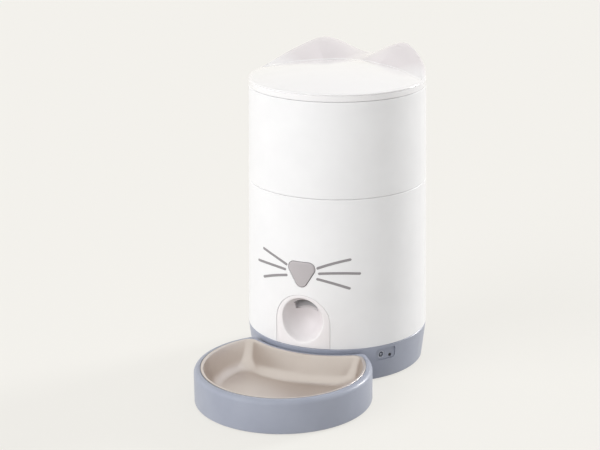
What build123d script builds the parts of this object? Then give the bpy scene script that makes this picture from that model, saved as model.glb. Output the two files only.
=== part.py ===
"""Automatic feeder for cats and small dogs.

A round tower on a grey base holds dry food in a lift-off hopper under an eared lid.
A vaned rotor meters the food through a chute into a steel dish, which stands in
a crescent tray that plugs into the front of the base.
Lengths are in millimetres, +Z is up and the front faces -Y.
"""
import os
from math import acos, cos, pi, radians, sin, sqrt, tan

from build123d import *

# Tower, measured from the floor and from the tower's own axis
FOOT_H = 1.5
BASE_TOP_R = 98.0
BASE_TOP_Z = 40.0
BASE_DRAFT = 4.5
TOWER_DRAFT = 4.0
HOPPER_H = 101.5
WALL = 2.6
SEAM_GAP = 0.3
EDGE_BEVEL = 0.7

# Rings and bosses inside the tower
RING_REACH = 14.0
RING_H = 3.0
LIP_H = 4.0
LIP_T = 1.8
LIP_CLEARANCE = 0.5
BOSS_R = 4.0
SCREW_R = 1.5
SCREW_HEAD_R = 2.9
SCREW_HEAD_H = 1.8
SCREW_FIT = 0.05
SCREW_END_GAP = 1.0
BOSS_CAP = 2.0

# Base plate and feet
PLATE_T = 2.6
PLATE_CLEARANCE = 0.2
PLATE_BOSS_INSET = 14.0
PLATE_BOSS_ANGLES = (27.0, 135.0, 225.0, 333.0)
PLATE_SCREW_DEPTH = 10.0
JOINT_SCREW_INSET = 10.5
JOINT_SCREW_ANGLES = (75.0, 165.0, 195.0, 285.0)
JOINT_SCREW_DEPTH = 8.0
FOOT_R = 7.0
FOOT_INSET = 26.0
FOOT_ANGLES = (50.0, 130.0, 230.0, 310.0)

# Arched chute panel and its round scoop
ARCH_HALF = 31.0
ARCH_RISE = 27.0
ARCH_GAP = 0.35
PANEL_LIP = 2.5
PANEL_LIP_T = 1.6
SCOOP_LIFT = 3.0
SCOOP_MOUTH_R = 24.0
SCOOP_DEPTH = 20.0
SCOOP_WALL = 2.0

# Food chute behind the panel
CHUTE_HALF = 13.0
CHUTE_WALL = 2.0
CHUTE_OUTLET = 28.0
CHUTE_CHAMBER_GAP = 5.0
CHUTE_MOUTH_INSET = 10.0
CHUTE_MOUTH_DEPTH = 8.5
CHUTE_MOUTH_LIFT = 7.0
CHUTE_BEND_LIFT = 34.0
CHUTE_FLANGE = 5.0
CHUTE_FLANGE_T = 2.0
SENSOR_SIZE = 5.0
SENSOR_SETBACK = 28.0
SENSOR_LIFT = 8.0

# Nose button
NOSE_H = 34.1
NOSE_HALF = 20.6
NOSE_CORNER_R = 7.0
NOSE_ARCH_GAP = 2.4
NOSE_GAP = 0.35
NOSE_PROUD = 0.9
NOSE_FLANGE = 2.4
NOSE_FLANGE_T = 1.6
NOSE_TRAVEL = 1.5
NOSE_STEM_R = 1.6
NOSE_STEM_DROP = 10.5
STEM_END_GAP = 0.8
SWITCH_HALF = 3.0
SWITCH_T = 4.0
BUTTON_BOARD_HALF = 14.0
BUTTON_BOARD_H = 26.0
BUTTON_BOARD_LIFT = 9.5
BUTTON_BOARD_INSET = 14.0
BOARD_T = 1.6
BOARD_POST_R = 2.2
BOARD_POST_X = 11.0
BOARD_POST_LIFT = 6.5

# Whisker inlays on one side: inner angle and drop, outer angle and drop, bow.
# The drops are measured from the top of the nose.
WHISKERS = (
    (10.5, 5.2, 30.1, -4.7, 0.9),
    (11.5, 11.0, 36.0, 11.0, 1.1),
    (10.4, 17.1, 29.8, 26.5, 0.9),
)
WHISKER_WIDTH = 2.8
WHISKER_DEPTH = 1.0
WHISKER_PROUD = 0.15

# Port plate on the base, to the right of the front
PORT_ANGLE = 55.0
PORT_DROP = 10.2
PORT_HALF = 12.0
PORT_HALF_H = 6.4
PORT_CORNER_R = 3.0
PORT_SINK = 3.0
PORT_T = 2.0
PORT_FIT = 0.2
JACK_SIDE = -4.8
JACK_DROP = 0.8
JACK_COLLAR_R = 4.0
JACK_BORE_R = 3.1
JACK_PIN_R = 1.0
JACK_HALF = 4.6
JACK_LENGTH = 13.0
JACK_STEP = 1.0
JACK_COLLAR_SINK = 0.3
JACK_PIN_SINK = 1.0
JACK_BACK_T = 3.0
RESET_SIDE = 6.1
RESET_DROP = 3.2
RESET_R = 1.7
RESET_GAP = 0.25
RESET_TRAVEL = 0.6
RESET_FLANGE_R = 2.6
RESET_FLANGE_T = 1.0
RESET_SINK = 0.5
RESET_SWITCH_STEP = 4.0
STEM_ENTRY = 0.6

# Control board under the works
MAIN_BOARD_DROP = 18.0
MAIN_BOARD_HALF = 30.0
MAIN_BOARD_INSET = 7.0
MAIN_BOARD_DEPTH = 65.0
POST_R = 3.2
POST_INSET = 5.0
POST_SETBACK = 20.0
BOARD_EDGE_GAP = 1.0

# What stands on the board: its spread to the side and behind the outer edge, and its height
WIFI_BOX = ((-24.0, -8.0), (23.0, 45.0), 3.0)
HEADERS = (((-2.0, 14.0), (49.0, 55.0), 7.0), ((16.0, 26.0), (43.0, 49.0), 7.0))

# Round parts: radius, height, place to the side and behind the outer edge
CAPACITOR = (5.0, 12.0, 14.0, 25.0)
BUZZER = (6.0, 8.0, -18.0, 55.0)

# Metering deck, chamber and rotor
DECK_LIFT = 15.5
DECK_T = 3.0
DECK_CLEARANCE = 0.6
DECK_LUG_ANGLES = (50.0, 130.0, 230.0, 310.0)
DECK_LUG_H = 10.0
DECK_LUG_HALF = 6.0
DECK_LUG_REACH = 10.0
DECK_SCREW_INSET = 5.0
DECK_SCREW_DEPTH = 7.0
CHAMBER_INSET = 32.0
CHAMBER_WALL = 2.0
CHAMBER_H = 29.7
CHAMBER_SEAM_GAP = 20.3
VANE_COUNT = 6
VANE_T = 2.0
VANE_TIP_GAP = 1.5
VANE_TOP_GAP = 4.2
HUB_R = 14.0
HUB_TOP_GAP = 2.2
HUB_CHAMFER = 2.8
HUB_CAP_T = 4.0
SHAFT_TAIL = 2.0
SLEEVE_T = 2.0
SHAFT_R = 4.0
SHAFT_FIT = 0.04
BUSH_T = 2.5
BUSH_FLANGE = 2.46
BUSH_FLANGE_T = 1.0
BUSH_DROP = 2.0
ROTOR_LIFT = 0.5

# Gear train below the deck
GEAR_MODULE = 1.25
GEAR_TEETH = 40
PINION_TEETH = 14
PRESSURE_ANGLE = 25.0
BACKLASH = 0.3
GEAR_T = 7.0
GEAR_DROP = 3.0
MOTOR_SHAFT_R = 3.0
GEARBOX_R = 18.5
GEARBOX_H = 22.0
MOTOR_CAN_R = 12.0
MOTOR_CAN_H = 30.0
BRACKET_T = 2.0
BRACKET_HALF = 28.0
STANDOFF_R = 3.5
STANDOFF_INSET = 5.0
STANDOFF_SETBACK = 10.0
BRACKET_GAP = 4.0

# Hopper tank
TANK_INSET = 8.0
TANK_WALL = 2.0
TANK_TOP_DROP = 2.5
TANK_CONE_LIFT = 42.0
TANK_FLANGE_T = 2.0
THROAT_R = 24.0
THROAT_Y = 30.0
COVER_T = 2.0
COVER_SKIRT_H = 6.0
COVER_SKIRT_T = 1.6
COVER_CLEARANCE = 0.4
LEDGE_REACH = 4.0

# Lid with two ears, its heights measured from the lid's seam
LID_EDGE_H = 6.0
LID_EDGE_R = 3.0
DOME_TOP_H = 19.5
DOME_SHOULDER_H = 8.7
LID_WALL = 2.6
EAR_TIP_X = 52.0
EAR_TIP_H = 34.4
EAR_SADDLE_H = 15.5
EAR_END_H = 6.5
EAR_SADDLE_PULL = 0.35
EAR_TIP_PULL = 0.65
EAR_TIP_ROUND = 14.0
EAR_END_ROUND = 12.0
EAR_INSET = 0.2
EAR_DEPTH = 39.0
EAR_SLOPE = 1.5
CREASE_CENTRE_Y = -40.0
CREASE_H = 11.5
LINER_T = 2.0
LINER_LIFT = 1.5
PLUG_DEPTH = 9.0
PLUG_GAP = 2.0
PLUG_T = 2.0
SEAL_H = 3.0
SEAL_GAP = 0.3
SEAL_LIFT = 1.5
DESICCANT_R = 28.0
DESICCANT_H = 13.0
DESICCANT_WALL = 1.6
DESICCANT_SLOTS = 5
DESICCANT_SLOT_HALF = 1.2
DESICCANT_SLOT_MARGIN = 5.0

# Crescent tray and steel dish
TRAY_SETBACK = 45.5
TRAY_R = 92.0
TRAY_GAP = 2.0
TRAY_TOP_Z = 37.0
TRAY_WALL = 2.4
TRAY_FLOOR_T = 2.5
TRAY_TOP_T = 3.0
TRAY_CORNER_R = 6.0
TRAY_TOP_ROUND = 5.0
TRAY_FOOT_ROUND = 1.2
DISH_FRONT_INSET = 7.0
DISH_BACK_INSET = 6.5
DISH_CORNER_R = 11.0
DISH_LIP = 2.4
DISH_SHEET = 0.9
DISH_SLOPE = 9.0
DISH_FLOOR_GAP = 5.4
DISH_FLOOR_R = 11.0
DISH_FIT = 0.5
DISH_SEAT_DEPTH = 0.9
TONGUE_HALF = 22.0
TONGUE_T = 3.0
TONGUE_LIFT = 2.0
TONGUE_REACH = 20.0
TONGUE_GAP = 0.5
TRAY_FOOT_R = 6.0
TRAY_FOOT_INSET = 16.0
TRAY_FOOT_SIDE_INSET = 34.0
TRAY_FOOT_SETBACK = 25.5

# Radii and depths that follow the tower
BASE_FOOT_R = BASE_TOP_R - BASE_DRAFT
TOWER_TOP_R = BASE_TOP_R - TOWER_DRAFT
RING_INNER_R = BASE_TOP_R - RING_REACH
PLATE_BOSS_PITCH_R = BASE_TOP_R - PLATE_BOSS_INSET
JOINT_SCREW_PITCH_R = BASE_TOP_R - JOINT_SCREW_INSET
FOOT_PITCH_R = BASE_TOP_R - FOOT_INSET
PORT_FACE_R = BASE_TOP_R - PORT_SINK
MAIN_BOARD_OUTER_R = BASE_TOP_R - MAIN_BOARD_INSET
MAIN_BOARD_INNER_R = MAIN_BOARD_OUTER_R - MAIN_BOARD_DEPTH
BUTTON_BOARD_FRONT = BASE_TOP_R - BUTTON_BOARD_INSET
CHAMBER_R = BASE_TOP_R - CHAMBER_INSET
CHUTE_FRONT_Y = -(CHAMBER_R - CHUTE_CHAMBER_GAP)
CHUTE_BACK_Y = CHUTE_FRONT_Y + CHUTE_OUTLET
CHUTE_MOUTH_FRONT_Y = -(BASE_TOP_R - CHUTE_MOUTH_INSET)
CHUTE_MOUTH_BACK_Y = CHUTE_MOUTH_FRONT_Y + CHUTE_MOUTH_DEPTH
SENSOR_Y = -(BASE_TOP_R - SENSOR_SETBACK)
BUSH_FLANGE_R = SHAFT_R + SHAFT_FIT + BUSH_T + BUSH_FLANGE
TANK_R = TOWER_TOP_R - TANK_INSET
PLUG_R = TANK_R - TANK_WALL - PLUG_GAP
CREASE_R = TOWER_TOP_R - EAR_DEPTH - CREASE_CENTRE_Y
TRAY_CENTRE_Y = -(BASE_TOP_R + TRAY_SETBACK)
TRAY_BACK_R = BASE_TOP_R + TRAY_GAP
DISH_RIM_R = TRAY_R - DISH_FRONT_INSET
DISH_BACK_R = TRAY_BACK_R + DISH_BACK_INSET

# Heights, stacked from the floor up
PLATE_TOP_Z = FOOT_H + PLATE_T
RING_BOTTOM_Z = BASE_TOP_Z - RING_H
PORT_Z = BASE_TOP_Z - PORT_DROP
JACK_Z = PORT_Z - JACK_DROP
RESET_Z = PORT_Z - RESET_DROP
MAIN_BOARD_Z = BASE_TOP_Z - MAIN_BOARD_DROP
BOARD_TOP_Z = MAIN_BOARD_Z + BOARD_T
ARCH_CENTRE_Z = BASE_TOP_Z + ARCH_RISE
SCOOP_Z = ARCH_CENTRE_Z + SCOOP_LIFT
CHUTE_MOUTH_BACK_Z = SCOOP_Z + CHUTE_MOUTH_LIFT
CHUTE_BEND_Z = SCOOP_Z + CHUTE_BEND_LIFT
SENSOR_Z = CHUTE_BEND_Z + SENSOR_LIFT
NOSE_POINT_Z = ARCH_CENTRE_Z + ARCH_HALF + NOSE_ARCH_GAP
NOSE_TOP_Z = NOSE_POINT_Z + NOSE_H
NOSE_STEM_Z = NOSE_TOP_Z - NOSE_STEM_DROP
BUTTON_BOARD_TOP_Z = NOSE_TOP_Z + BUTTON_BOARD_LIFT
BOARD_POST_Z = NOSE_TOP_Z + BOARD_POST_LIFT
DECK_Z = NOSE_TOP_Z + DECK_LIFT
DECK_TOP_Z = DECK_Z + DECK_T
CHAMBER_TOP_Z = DECK_TOP_Z + CHAMBER_H
COVER_Z = CHAMBER_TOP_Z + SEAM_GAP
ROTOR_Z = DECK_TOP_Z + BUSH_FLANGE_T + ROTOR_LIFT
GEAR_TOP_Z = DECK_Z - GEAR_DROP
GEAR_BOTTOM_Z = GEAR_TOP_Z - GEAR_T
BRACKET_TOP_Z = GEAR_BOTTOM_Z - BRACKET_GAP
HOPPER_SEAM_Z = CHAMBER_TOP_Z + CHAMBER_SEAM_GAP
LID_SEAM_Z = HOPPER_SEAM_Z + HOPPER_H
TANK_CONE_Z = HOPPER_SEAM_Z + TANK_CONE_LIFT
TANK_TOP_Z = LID_SEAM_Z - TANK_TOP_DROP
LEDGE_TOP_Z = TANK_TOP_Z - TANK_FLANGE_T
LINER_Z = LID_SEAM_Z + LINER_LIFT
LID_EDGE_Z = LID_SEAM_Z + LID_EDGE_H
DOME_SHOULDER_Z = LID_SEAM_Z + DOME_SHOULDER_H
DOME_TOP_Z = LID_SEAM_Z + DOME_TOP_H
EAR_TIP_Z = LID_SEAM_Z + EAR_TIP_H
EAR_SADDLE_Z = LID_SEAM_Z + EAR_SADDLE_H
EAR_END_Z = LID_SEAM_Z + EAR_END_H
CREASE_Z = LID_SEAM_Z + CREASE_H
VANE_H = CHAMBER_TOP_Z - VANE_TOP_GAP - ROTOR_Z
HUB_H = CHAMBER_TOP_Z - HUB_TOP_GAP - ROTOR_Z
TONGUE_Z = FOOT_H + TRAY_FLOOR_T + TONGUE_LIFT
DISH_RIM_Z = TRAY_TOP_Z - DISH_SEAT_DEPTH + SEAM_GAP
DISH_DEPTH = DISH_RIM_Z - FOOT_H - TRAY_FLOOR_T - DISH_FLOOR_GAP

# The footprint's centre, which is the origin on export
FRONT_Y = TRAY_CENTRE_Y - TRAY_R
SHIFT_Y = (-FRONT_Y - BASE_TOP_R) / 2

STANDING = (Align.CENTER, Align.CENTER, Align.MIN)


def tower_r(z):
    """Outer radius of the white tower at height z."""
    share = (z - BASE_TOP_Z) / (LID_SEAM_Z - BASE_TOP_Z)
    return BASE_TOP_R + (TOWER_TOP_R - BASE_TOP_R) * share


def base_r(z):
    """Outer radius of the grey base at height z."""
    share = (z - FOOT_H) / (BASE_TOP_Z - FOOT_H)
    return BASE_FOOT_R + (BASE_TOP_R - BASE_FOOT_R) * share


def pillar(radius, low, high, x=0.0, y=0.0):
    return Pos(x, y, low) * Cylinder(radius, high - low, align=STANDING)


def block(xs, ys, zs):
    middle = Pos((xs[0] + xs[1]) / 2, (ys[0] + ys[1]) / 2, (zs[0] + zs[1]) / 2)
    return middle * Box(xs[1] - xs[0], ys[1] - ys[0], zs[1] - zs[0])


def turned(points):
    """Solid of revolution about Z from (radius, height) points."""
    return revolve(Plane.XZ * make_face(Polyline(*points, close=True)), Axis.Z)


def tower_layer(inner, outer, low, high):
    """Part of the tower's wall between two offsets from its outer face."""
    return turned([
        (tower_r(low) + inner, low),
        (tower_r(low) + outer, low),
        (tower_r(high) + outer, high),
        (tower_r(high) + inner, high),
    ])


def around(radius, angle):
    """Point on a circle, with the angle from the front towards +X."""
    return radius * sin(radians(angle)), -radius * cos(radians(angle))


def from_front(outline, near, far):
    """Extrudes an (x, z) outline along Y, from y = -near to y = -far."""
    return extrude(Plane.XZ.offset(near) * outline, amount=far - near)


def tapered_shell(radius_at, low, high):
    """Open tube of the wall's thickness with small bevels on its outer edges."""
    return turned([
        (radius_at(low) - WALL, low),
        (radius_at(low) - EDGE_BEVEL, low),
        (radius_at(low + EDGE_BEVEL), low + EDGE_BEVEL),
        (radius_at(high - EDGE_BEVEL), high - EDGE_BEVEL),
        (radius_at(high) - EDGE_BEVEL, high),
        (radius_at(high) - WALL, high),
    ])


def tube(inner, outer, low, high):
    return pillar(outer, low, high) - pillar(inner, low, high)


def screw(x, y, head_z, length, up=True):
    """Screw with a flat head at head_z and a plain shank."""
    way = 1 if up else -1
    head = pillar(SCREW_HEAD_R, min(head_z, head_z + way * SCREW_HEAD_H),
                  max(head_z, head_z + way * SCREW_HEAD_H), x, y)
    start = head_z + way * SCREW_HEAD_H
    shank = pillar(SCREW_R, min(start, start + way * length), max(start, start + way * length), x, y)
    return head + shank


# Grey base

def tongue_slot():
    wall_back = base_r(TONGUE_Z) - 2 * WALL
    return block((-TONGUE_HALF - TONGUE_GAP, TONGUE_HALF + TONGUE_GAP), (-BASE_TOP_R, -wall_back),
                 (TONGUE_Z - TONGUE_GAP, TONGUE_Z + TONGUE_T + TONGUE_GAP))


def port_outline(grow):
    shape = Rectangle(2 * (PORT_HALF + grow), 2 * (PORT_HALF_H + grow))
    return Pos(0, PORT_Z) * fillet(shape.vertices(), PORT_CORNER_R + grow)


def at_port(solid):
    """Turns a piece that faces the front so that it faces the port's way."""
    return Rot(0, 0, PORT_ANGLE) * solid


def base_shell():
    body = tapered_shell(base_r, FOOT_H, BASE_TOP_Z)
    body += turned([
        (RING_INNER_R, RING_BOTTOM_Z),
        (base_r(RING_BOTTOM_Z) - WALL / 2, RING_BOTTOM_Z),
        (base_r(BASE_TOP_Z) - WALL / 2, BASE_TOP_Z),
        (RING_INNER_R, BASE_TOP_Z),
    ])
    for angle in PLATE_BOSS_ANGLES:
        x, y = around(PLATE_BOSS_PITCH_R, angle)
        body += pillar(BOSS_R, PLATE_TOP_Z, BASE_TOP_Z, x, y)
        body -= pillar(SCREW_R + SCREW_FIT, PLATE_TOP_Z, PLATE_TOP_Z + PLATE_SCREW_DEPTH, x, y)
    for angle in JOINT_SCREW_ANGLES:
        x, y = around(JOINT_SCREW_PITCH_R, angle)
        body -= pillar(SCREW_R + SCREW_FIT, RING_BOTTOM_Z, BASE_TOP_Z, x, y)
    body -= tongue_slot()
    body -= at_port(from_front(port_outline(PORT_FIT), PORT_FACE_R - 3 * WALL, BASE_TOP_R + 1))
    return body


def base_plate():
    radius = base_r(FOOT_H) - WALL - PLATE_CLEARANCE
    body = pillar(radius, FOOT_H, PLATE_TOP_Z)
    for x, y in board_post_places():
        body += pillar(POST_R, PLATE_TOP_Z, MAIN_BOARD_Z, x, y)
    for angle in PLATE_BOSS_ANGLES:
        x, y = around(PLATE_BOSS_PITCH_R, angle)
        body -= pillar(SCREW_R + SCREW_FIT, FOOT_H, PLATE_TOP_Z, x, y)
        body -= pillar(SCREW_HEAD_R + SCREW_FIT, FOOT_H, FOOT_H + SCREW_HEAD_H, x, y)
    return body


def base_feet():
    return [pillar(FOOT_R, 0, FOOT_H, *around(FOOT_PITCH_R, angle)) for angle in FOOT_ANGLES]


def base_screws():
    reach = PLATE_T - SCREW_HEAD_H + PLATE_SCREW_DEPTH - SCREW_END_GAP
    return [screw(*around(PLATE_BOSS_PITCH_R, angle), FOOT_H, reach) for angle in PLATE_BOSS_ANGLES]


def joint_screws():
    reach = 2 * RING_H + JOINT_SCREW_DEPTH - SCREW_END_GAP
    low = RING_BOTTOM_Z - SCREW_HEAD_H
    return [screw(*around(JOINT_SCREW_PITCH_R, angle), low, reach) for angle in JOINT_SCREW_ANGLES]


# Port side of the base

def port_plate():
    plate = from_front(port_outline(0), PORT_FACE_R - PORT_T, PORT_FACE_R)
    plate -= from_front(Pos(JACK_SIDE, JACK_Z) * Circle(JACK_COLLAR_R + SCREW_FIT),
                        PORT_FACE_R - PORT_T, PORT_FACE_R)
    plate -= from_front(Pos(RESET_SIDE, RESET_Z) * Circle(RESET_R + RESET_GAP),
                        PORT_FACE_R - PORT_T, PORT_FACE_R)
    return at_port(plate)


JACK_BACK_R = PORT_FACE_R - PORT_T


def dc_jack():
    spot = Pos(JACK_SIDE, JACK_Z)
    back = JACK_BACK_R - JACK_LENGTH
    collar = from_front(spot * Circle(JACK_COLLAR_R), JACK_BACK_R - 2 * JACK_STEP, PORT_FACE_R - JACK_COLLAR_SINK)
    housing = block((JACK_SIDE - JACK_HALF, JACK_SIDE + JACK_HALF),
                    (-JACK_BACK_R + JACK_STEP, -JACK_BACK_R + JACK_LENGTH), (BOARD_TOP_Z, JACK_Z + JACK_HALF))
    bore = from_front(spot * Circle(JACK_BORE_R), back + JACK_BACK_T, PORT_FACE_R)
    pin = from_front(spot * Circle(JACK_PIN_R), back + JACK_BACK_T / 2, PORT_FACE_R - JACK_PIN_SINK)
    return at_port(collar + housing - bore + pin)


RESET_SEAT_R = PORT_FACE_R - PORT_T - RESET_GAP
RESET_SWITCH_R = RESET_SEAT_R - RESET_SWITCH_STEP


def reset_button():
    spot = Pos(RESET_SIDE, RESET_Z)
    stem = from_front(spot * Circle(RESET_R), RESET_SWITCH_R - STEM_ENTRY, PORT_FACE_R - RESET_SINK)
    flange = from_front(spot * Circle(RESET_FLANGE_R), RESET_SEAT_R - RESET_FLANGE_T, RESET_SEAT_R)
    return at_port(stem + flange)


def reset_switch():
    body = block((RESET_SIDE - SWITCH_HALF, RESET_SIDE + SWITCH_HALF),
                 (-RESET_SWITCH_R, -RESET_SWITCH_R + SWITCH_T),
                 (BOARD_TOP_Z, RESET_Z + SWITCH_HALF))
    well = from_front(Pos(RESET_SIDE, RESET_Z) * Circle(RESET_R + RESET_GAP),
                      RESET_SWITCH_R - STEM_ENTRY - 2 * RESET_TRAVEL, RESET_SWITCH_R)
    return at_port(body - well)


def board_post_places():
    spots = []
    for side in (-1, 1):
        for reach in (MAIN_BOARD_OUTER_R - POST_SETBACK, MAIN_BOARD_INNER_R + POST_INSET):
            spot = at_port(Pos(side * (MAIN_BOARD_HALF - POST_INSET), -reach, 0))
            spots.append((spot.position.X, spot.position.Y))
    return spots


def control_board():
    board = block((-MAIN_BOARD_HALF, MAIN_BOARD_HALF), (-MAIN_BOARD_OUTER_R, -MAIN_BOARD_INNER_R),
                  (MAIN_BOARD_Z, BOARD_TOP_Z))
    limit = pillar(base_r(MAIN_BOARD_Z) - WALL - BOARD_EDGE_GAP, MAIN_BOARD_Z, BOARD_TOP_Z)
    return at_port(board) & limit


def on_board(xs, setbacks, height):
    ys = [setback - MAIN_BOARD_OUTER_R for setback in setbacks]
    return at_port(block(xs, ys, (BOARD_TOP_Z, BOARD_TOP_Z + height)))


def wifi_module():
    return on_board(*WIFI_BOX)


def board_parts():
    """Capacitor, two plug headers and a buzzer on the control board."""
    round_parts = [at_port(pillar(radius, BOARD_TOP_Z, BOARD_TOP_Z + height, x, setback - MAIN_BOARD_OUTER_R))
                   for radius, height, x, setback in (CAPACITOR, BUZZER)]
    return round_parts + [on_board(*header) for header in HEADERS]


# White lower housing and what shows on its front

def arch(half, bottom):
    top = ARCH_CENTRE_Z + half
    return make_face([
        Line((-half, bottom), (half, bottom)),
        Line((half, bottom), (half, ARCH_CENTRE_Z)),
        ThreePointArc((half, ARCH_CENTRE_Z), (0, top), (-half, ARCH_CENTRE_Z)),
        Line((-half, ARCH_CENTRE_Z), (-half, bottom)),
    ])


def nose(grow):
    shape = make_face(Polyline((-NOSE_HALF, NOSE_TOP_Z), (0, NOSE_POINT_Z), (NOSE_HALF, NOSE_TOP_Z), close=True))
    shape = fillet(shape.vertices(), NOSE_CORNER_R)
    return offset(shape, amount=grow) if grow else shape


def whiskers(width):
    """Round-ended strokes on both sides of the nose."""
    strokes = Sketch()
    for side in (-1, 1):
        for inner_angle, inner_drop, outer_angle, outer_drop, bow in WHISKERS:
            inner_x = side * BASE_TOP_R * sin(radians(inner_angle))
            outer_x = side * BASE_TOP_R * sin(radians(outer_angle))
            inner_z, outer_z = NOSE_TOP_Z - inner_drop, NOSE_TOP_Z - outer_drop
            middle = ((inner_x + outer_x) / 2, (inner_z + outer_z) / 2 + bow)
            strokes += SlotArc(ThreePointArc((inner_x, inner_z), middle, (outer_x, outer_z)), width)
    return strokes


def lower_shell():
    low, high = BASE_TOP_Z, HOPPER_SEAM_Z
    body = tapered_shell(tower_r, low, high)
    body += tower_layer(RING_INNER_R - BASE_TOP_R, -WALL / 2, low, low + RING_H)
    lip_out = tower_r(high + LIP_H) - WALL - LIP_CLEARANCE
    body += turned([
        (lip_out - LIP_T, high - LIP_H),
        (tower_r(high - LIP_H) - WALL / 2, high - LIP_H),
        (tower_r(high) - WALL / 2, high),
        (lip_out, high),
        (lip_out, high + LIP_H),
        (lip_out - LIP_T, high + LIP_H),
    ])
    for angle in JOINT_SCREW_ANGLES:
        x, y = around(JOINT_SCREW_PITCH_R, angle)
        top = low + RING_H + JOINT_SCREW_DEPTH
        body += pillar(BOSS_R, low, top + BOSS_CAP, x, y)
        body -= pillar(SCREW_R + SCREW_FIT, low, top, x, y)
    body += deck_lugs()
    body += button_board_posts()
    body -= from_front(arch(ARCH_HALF, 0), ARCH_HALF, BASE_TOP_R + 1)
    body -= from_front(nose(NOSE_GAP), ARCH_HALF, BASE_TOP_R + 1)
    grooves = from_front(whiskers(WHISKER_WIDTH), ARCH_HALF, BASE_TOP_R + 1)
    body -= grooves & tower_layer(-WHISKER_DEPTH, 1, ARCH_CENTRE_Z, DECK_Z)
    return body


def deck_lugs():
    """Shelves under the deck, on the wall's inner face."""
    top_r = tower_r(DECK_Z) - WALL / 2
    lug = block((-DECK_LUG_HALF, DECK_LUG_HALF), (-top_r, -top_r + DECK_LUG_REACH), (DECK_Z - DECK_LUG_H, DECK_Z))
    lug -= pillar(SCREW_R + SCREW_FIT, DECK_Z - DECK_LUG_H + BOSS_CAP, DECK_Z, *around(DECK_SCREW_PITCH_R, 0))
    return Part() + [Rot(0, 0, angle) * lug for angle in DECK_LUG_ANGLES]


DECK_R = tower_r(DECK_Z) - WALL - DECK_CLEARANCE
DECK_SCREW_PITCH_R = DECK_R - DECK_SCREW_INSET


def button_board_posts():
    wall_y = tower_r(BOARD_POST_Z) - WALL / 2
    posts = Part()
    for side in (-1, 1):
        spot = Pos(side * BOARD_POST_X, BOARD_POST_Z)
        posts += from_front(spot * Circle(BOARD_POST_R), BUTTON_BOARD_FRONT, wall_y - 1)
    return posts


def whisker_inlays():
    strokes = from_front(whiskers(WHISKER_WIDTH - 2 * SCREW_FIT), ARCH_HALF, BASE_TOP_R + 1)
    inlay = strokes & tower_layer(-WHISKER_DEPTH + SCREW_FIT, WHISKER_PROUD, ARCH_CENTRE_Z, DECK_Z)
    return inlay.solids()


SCOOP_FRONT_R = tower_r(SCOOP_Z)
SCOOP_R = (SCOOP_MOUTH_R ** 2 + SCOOP_DEPTH ** 2) / (2 * SCOOP_DEPTH)
SCOOP_CENTRE_Y = -SCOOP_FRONT_R + SCOOP_DEPTH - SCOOP_R


def scoop_ball(wall):
    return Pos(0, SCOOP_CENTRE_Y, SCOOP_Z) * Sphere(SCOOP_R + wall)


def chute_side(grow):
    """The chute's outline seen from the side, as (y, z)."""
    top = DECK_Z
    line = Polyline(
        (CHUTE_BACK_Y, top),
        (CHUTE_FRONT_Y, top),
        (CHUTE_FRONT_Y, top - DECK_T),
        (CHUTE_MOUTH_FRONT_Y, CHUTE_BEND_Z),
        (CHUTE_MOUTH_FRONT_Y, CHUTE_MOUTH_BACK_Z),
        (CHUTE_MOUTH_BACK_Y, CHUTE_MOUTH_BACK_Z),
        close=True)
    face = make_face(line)
    return offset(face, amount=grow, kind=Kind.INTERSECTION) if grow else face


def chute_prism(grow):
    """The chute's outer form, or its passage when grow is 0."""
    half = CHUTE_HALF + grow
    return extrude(Plane.YZ.offset(-half) * chute_side(grow), amount=2 * half)


def chute_panel():
    low = BASE_TOP_Z + ARCH_GAP
    prism = from_front(arch(ARCH_HALF - ARCH_GAP, low), ARCH_HALF, BASE_TOP_R + 1)
    skin = prism & tower_layer(-WALL, 0, BASE_TOP_Z, 2 * BASE_TOP_R)
    lip = from_front(arch(ARCH_HALF + PANEL_LIP, BASE_TOP_Z + RING_H + ARCH_GAP), ARCH_HALF, BASE_TOP_R + 1)
    lip &= tower_layer(-WALL - PANEL_LIP_T, -WALL, BASE_TOP_Z, 2 * BASE_TOP_R)
    lip &= tower_layer(-WALL - 2 * PANEL_LIP_T, -WALL - SCREW_FIT, BASE_TOP_Z, 2 * BASE_TOP_R) + prism
    inside = tower_layer(-tower_r(SCOOP_Z) / 2, -WALL / 2, BASE_TOP_Z, 2 * BASE_TOP_R)
    body = skin + lip + (scoop_ball(SCOOP_WALL) & inside)
    body -= scoop_ball(0)
    body -= chute_prism(0)
    return body


def chute_duct():
    body = chute_prism(CHUTE_WALL)
    body -= pillar(BASE_TOP_R, DECK_Z, DECK_Z + 2 * CHUTE_WALL)
    flange_half = CHUTE_HALF + CHUTE_WALL + CHUTE_FLANGE
    body += block((-flange_half, flange_half),
                  (CHUTE_FRONT_Y - CHUTE_WALL - CHUTE_FLANGE, CHUTE_BACK_Y + 1),
                  (DECK_Z - CHUTE_FLANGE_T, DECK_Z))
    body -= chute_prism(0)
    body -= scoop_ball(SCOOP_WALL)
    return body


def food_sensors():
    """Light gate for falling food: one housing on each side of the chute."""
    pieces = []
    for side in (-1, 1):
        near = side * (CHUTE_HALF + CHUTE_WALL)
        far = near + side * SENSOR_SIZE
        pieces.append(block((min(near, far), max(near, far)),
                            (SENSOR_Y - SENSOR_SIZE, SENSOR_Y + SENSOR_SIZE),
                            (SENSOR_Z - SENSOR_SIZE, SENSOR_Z + SENSOR_SIZE)))
    return pieces


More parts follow.
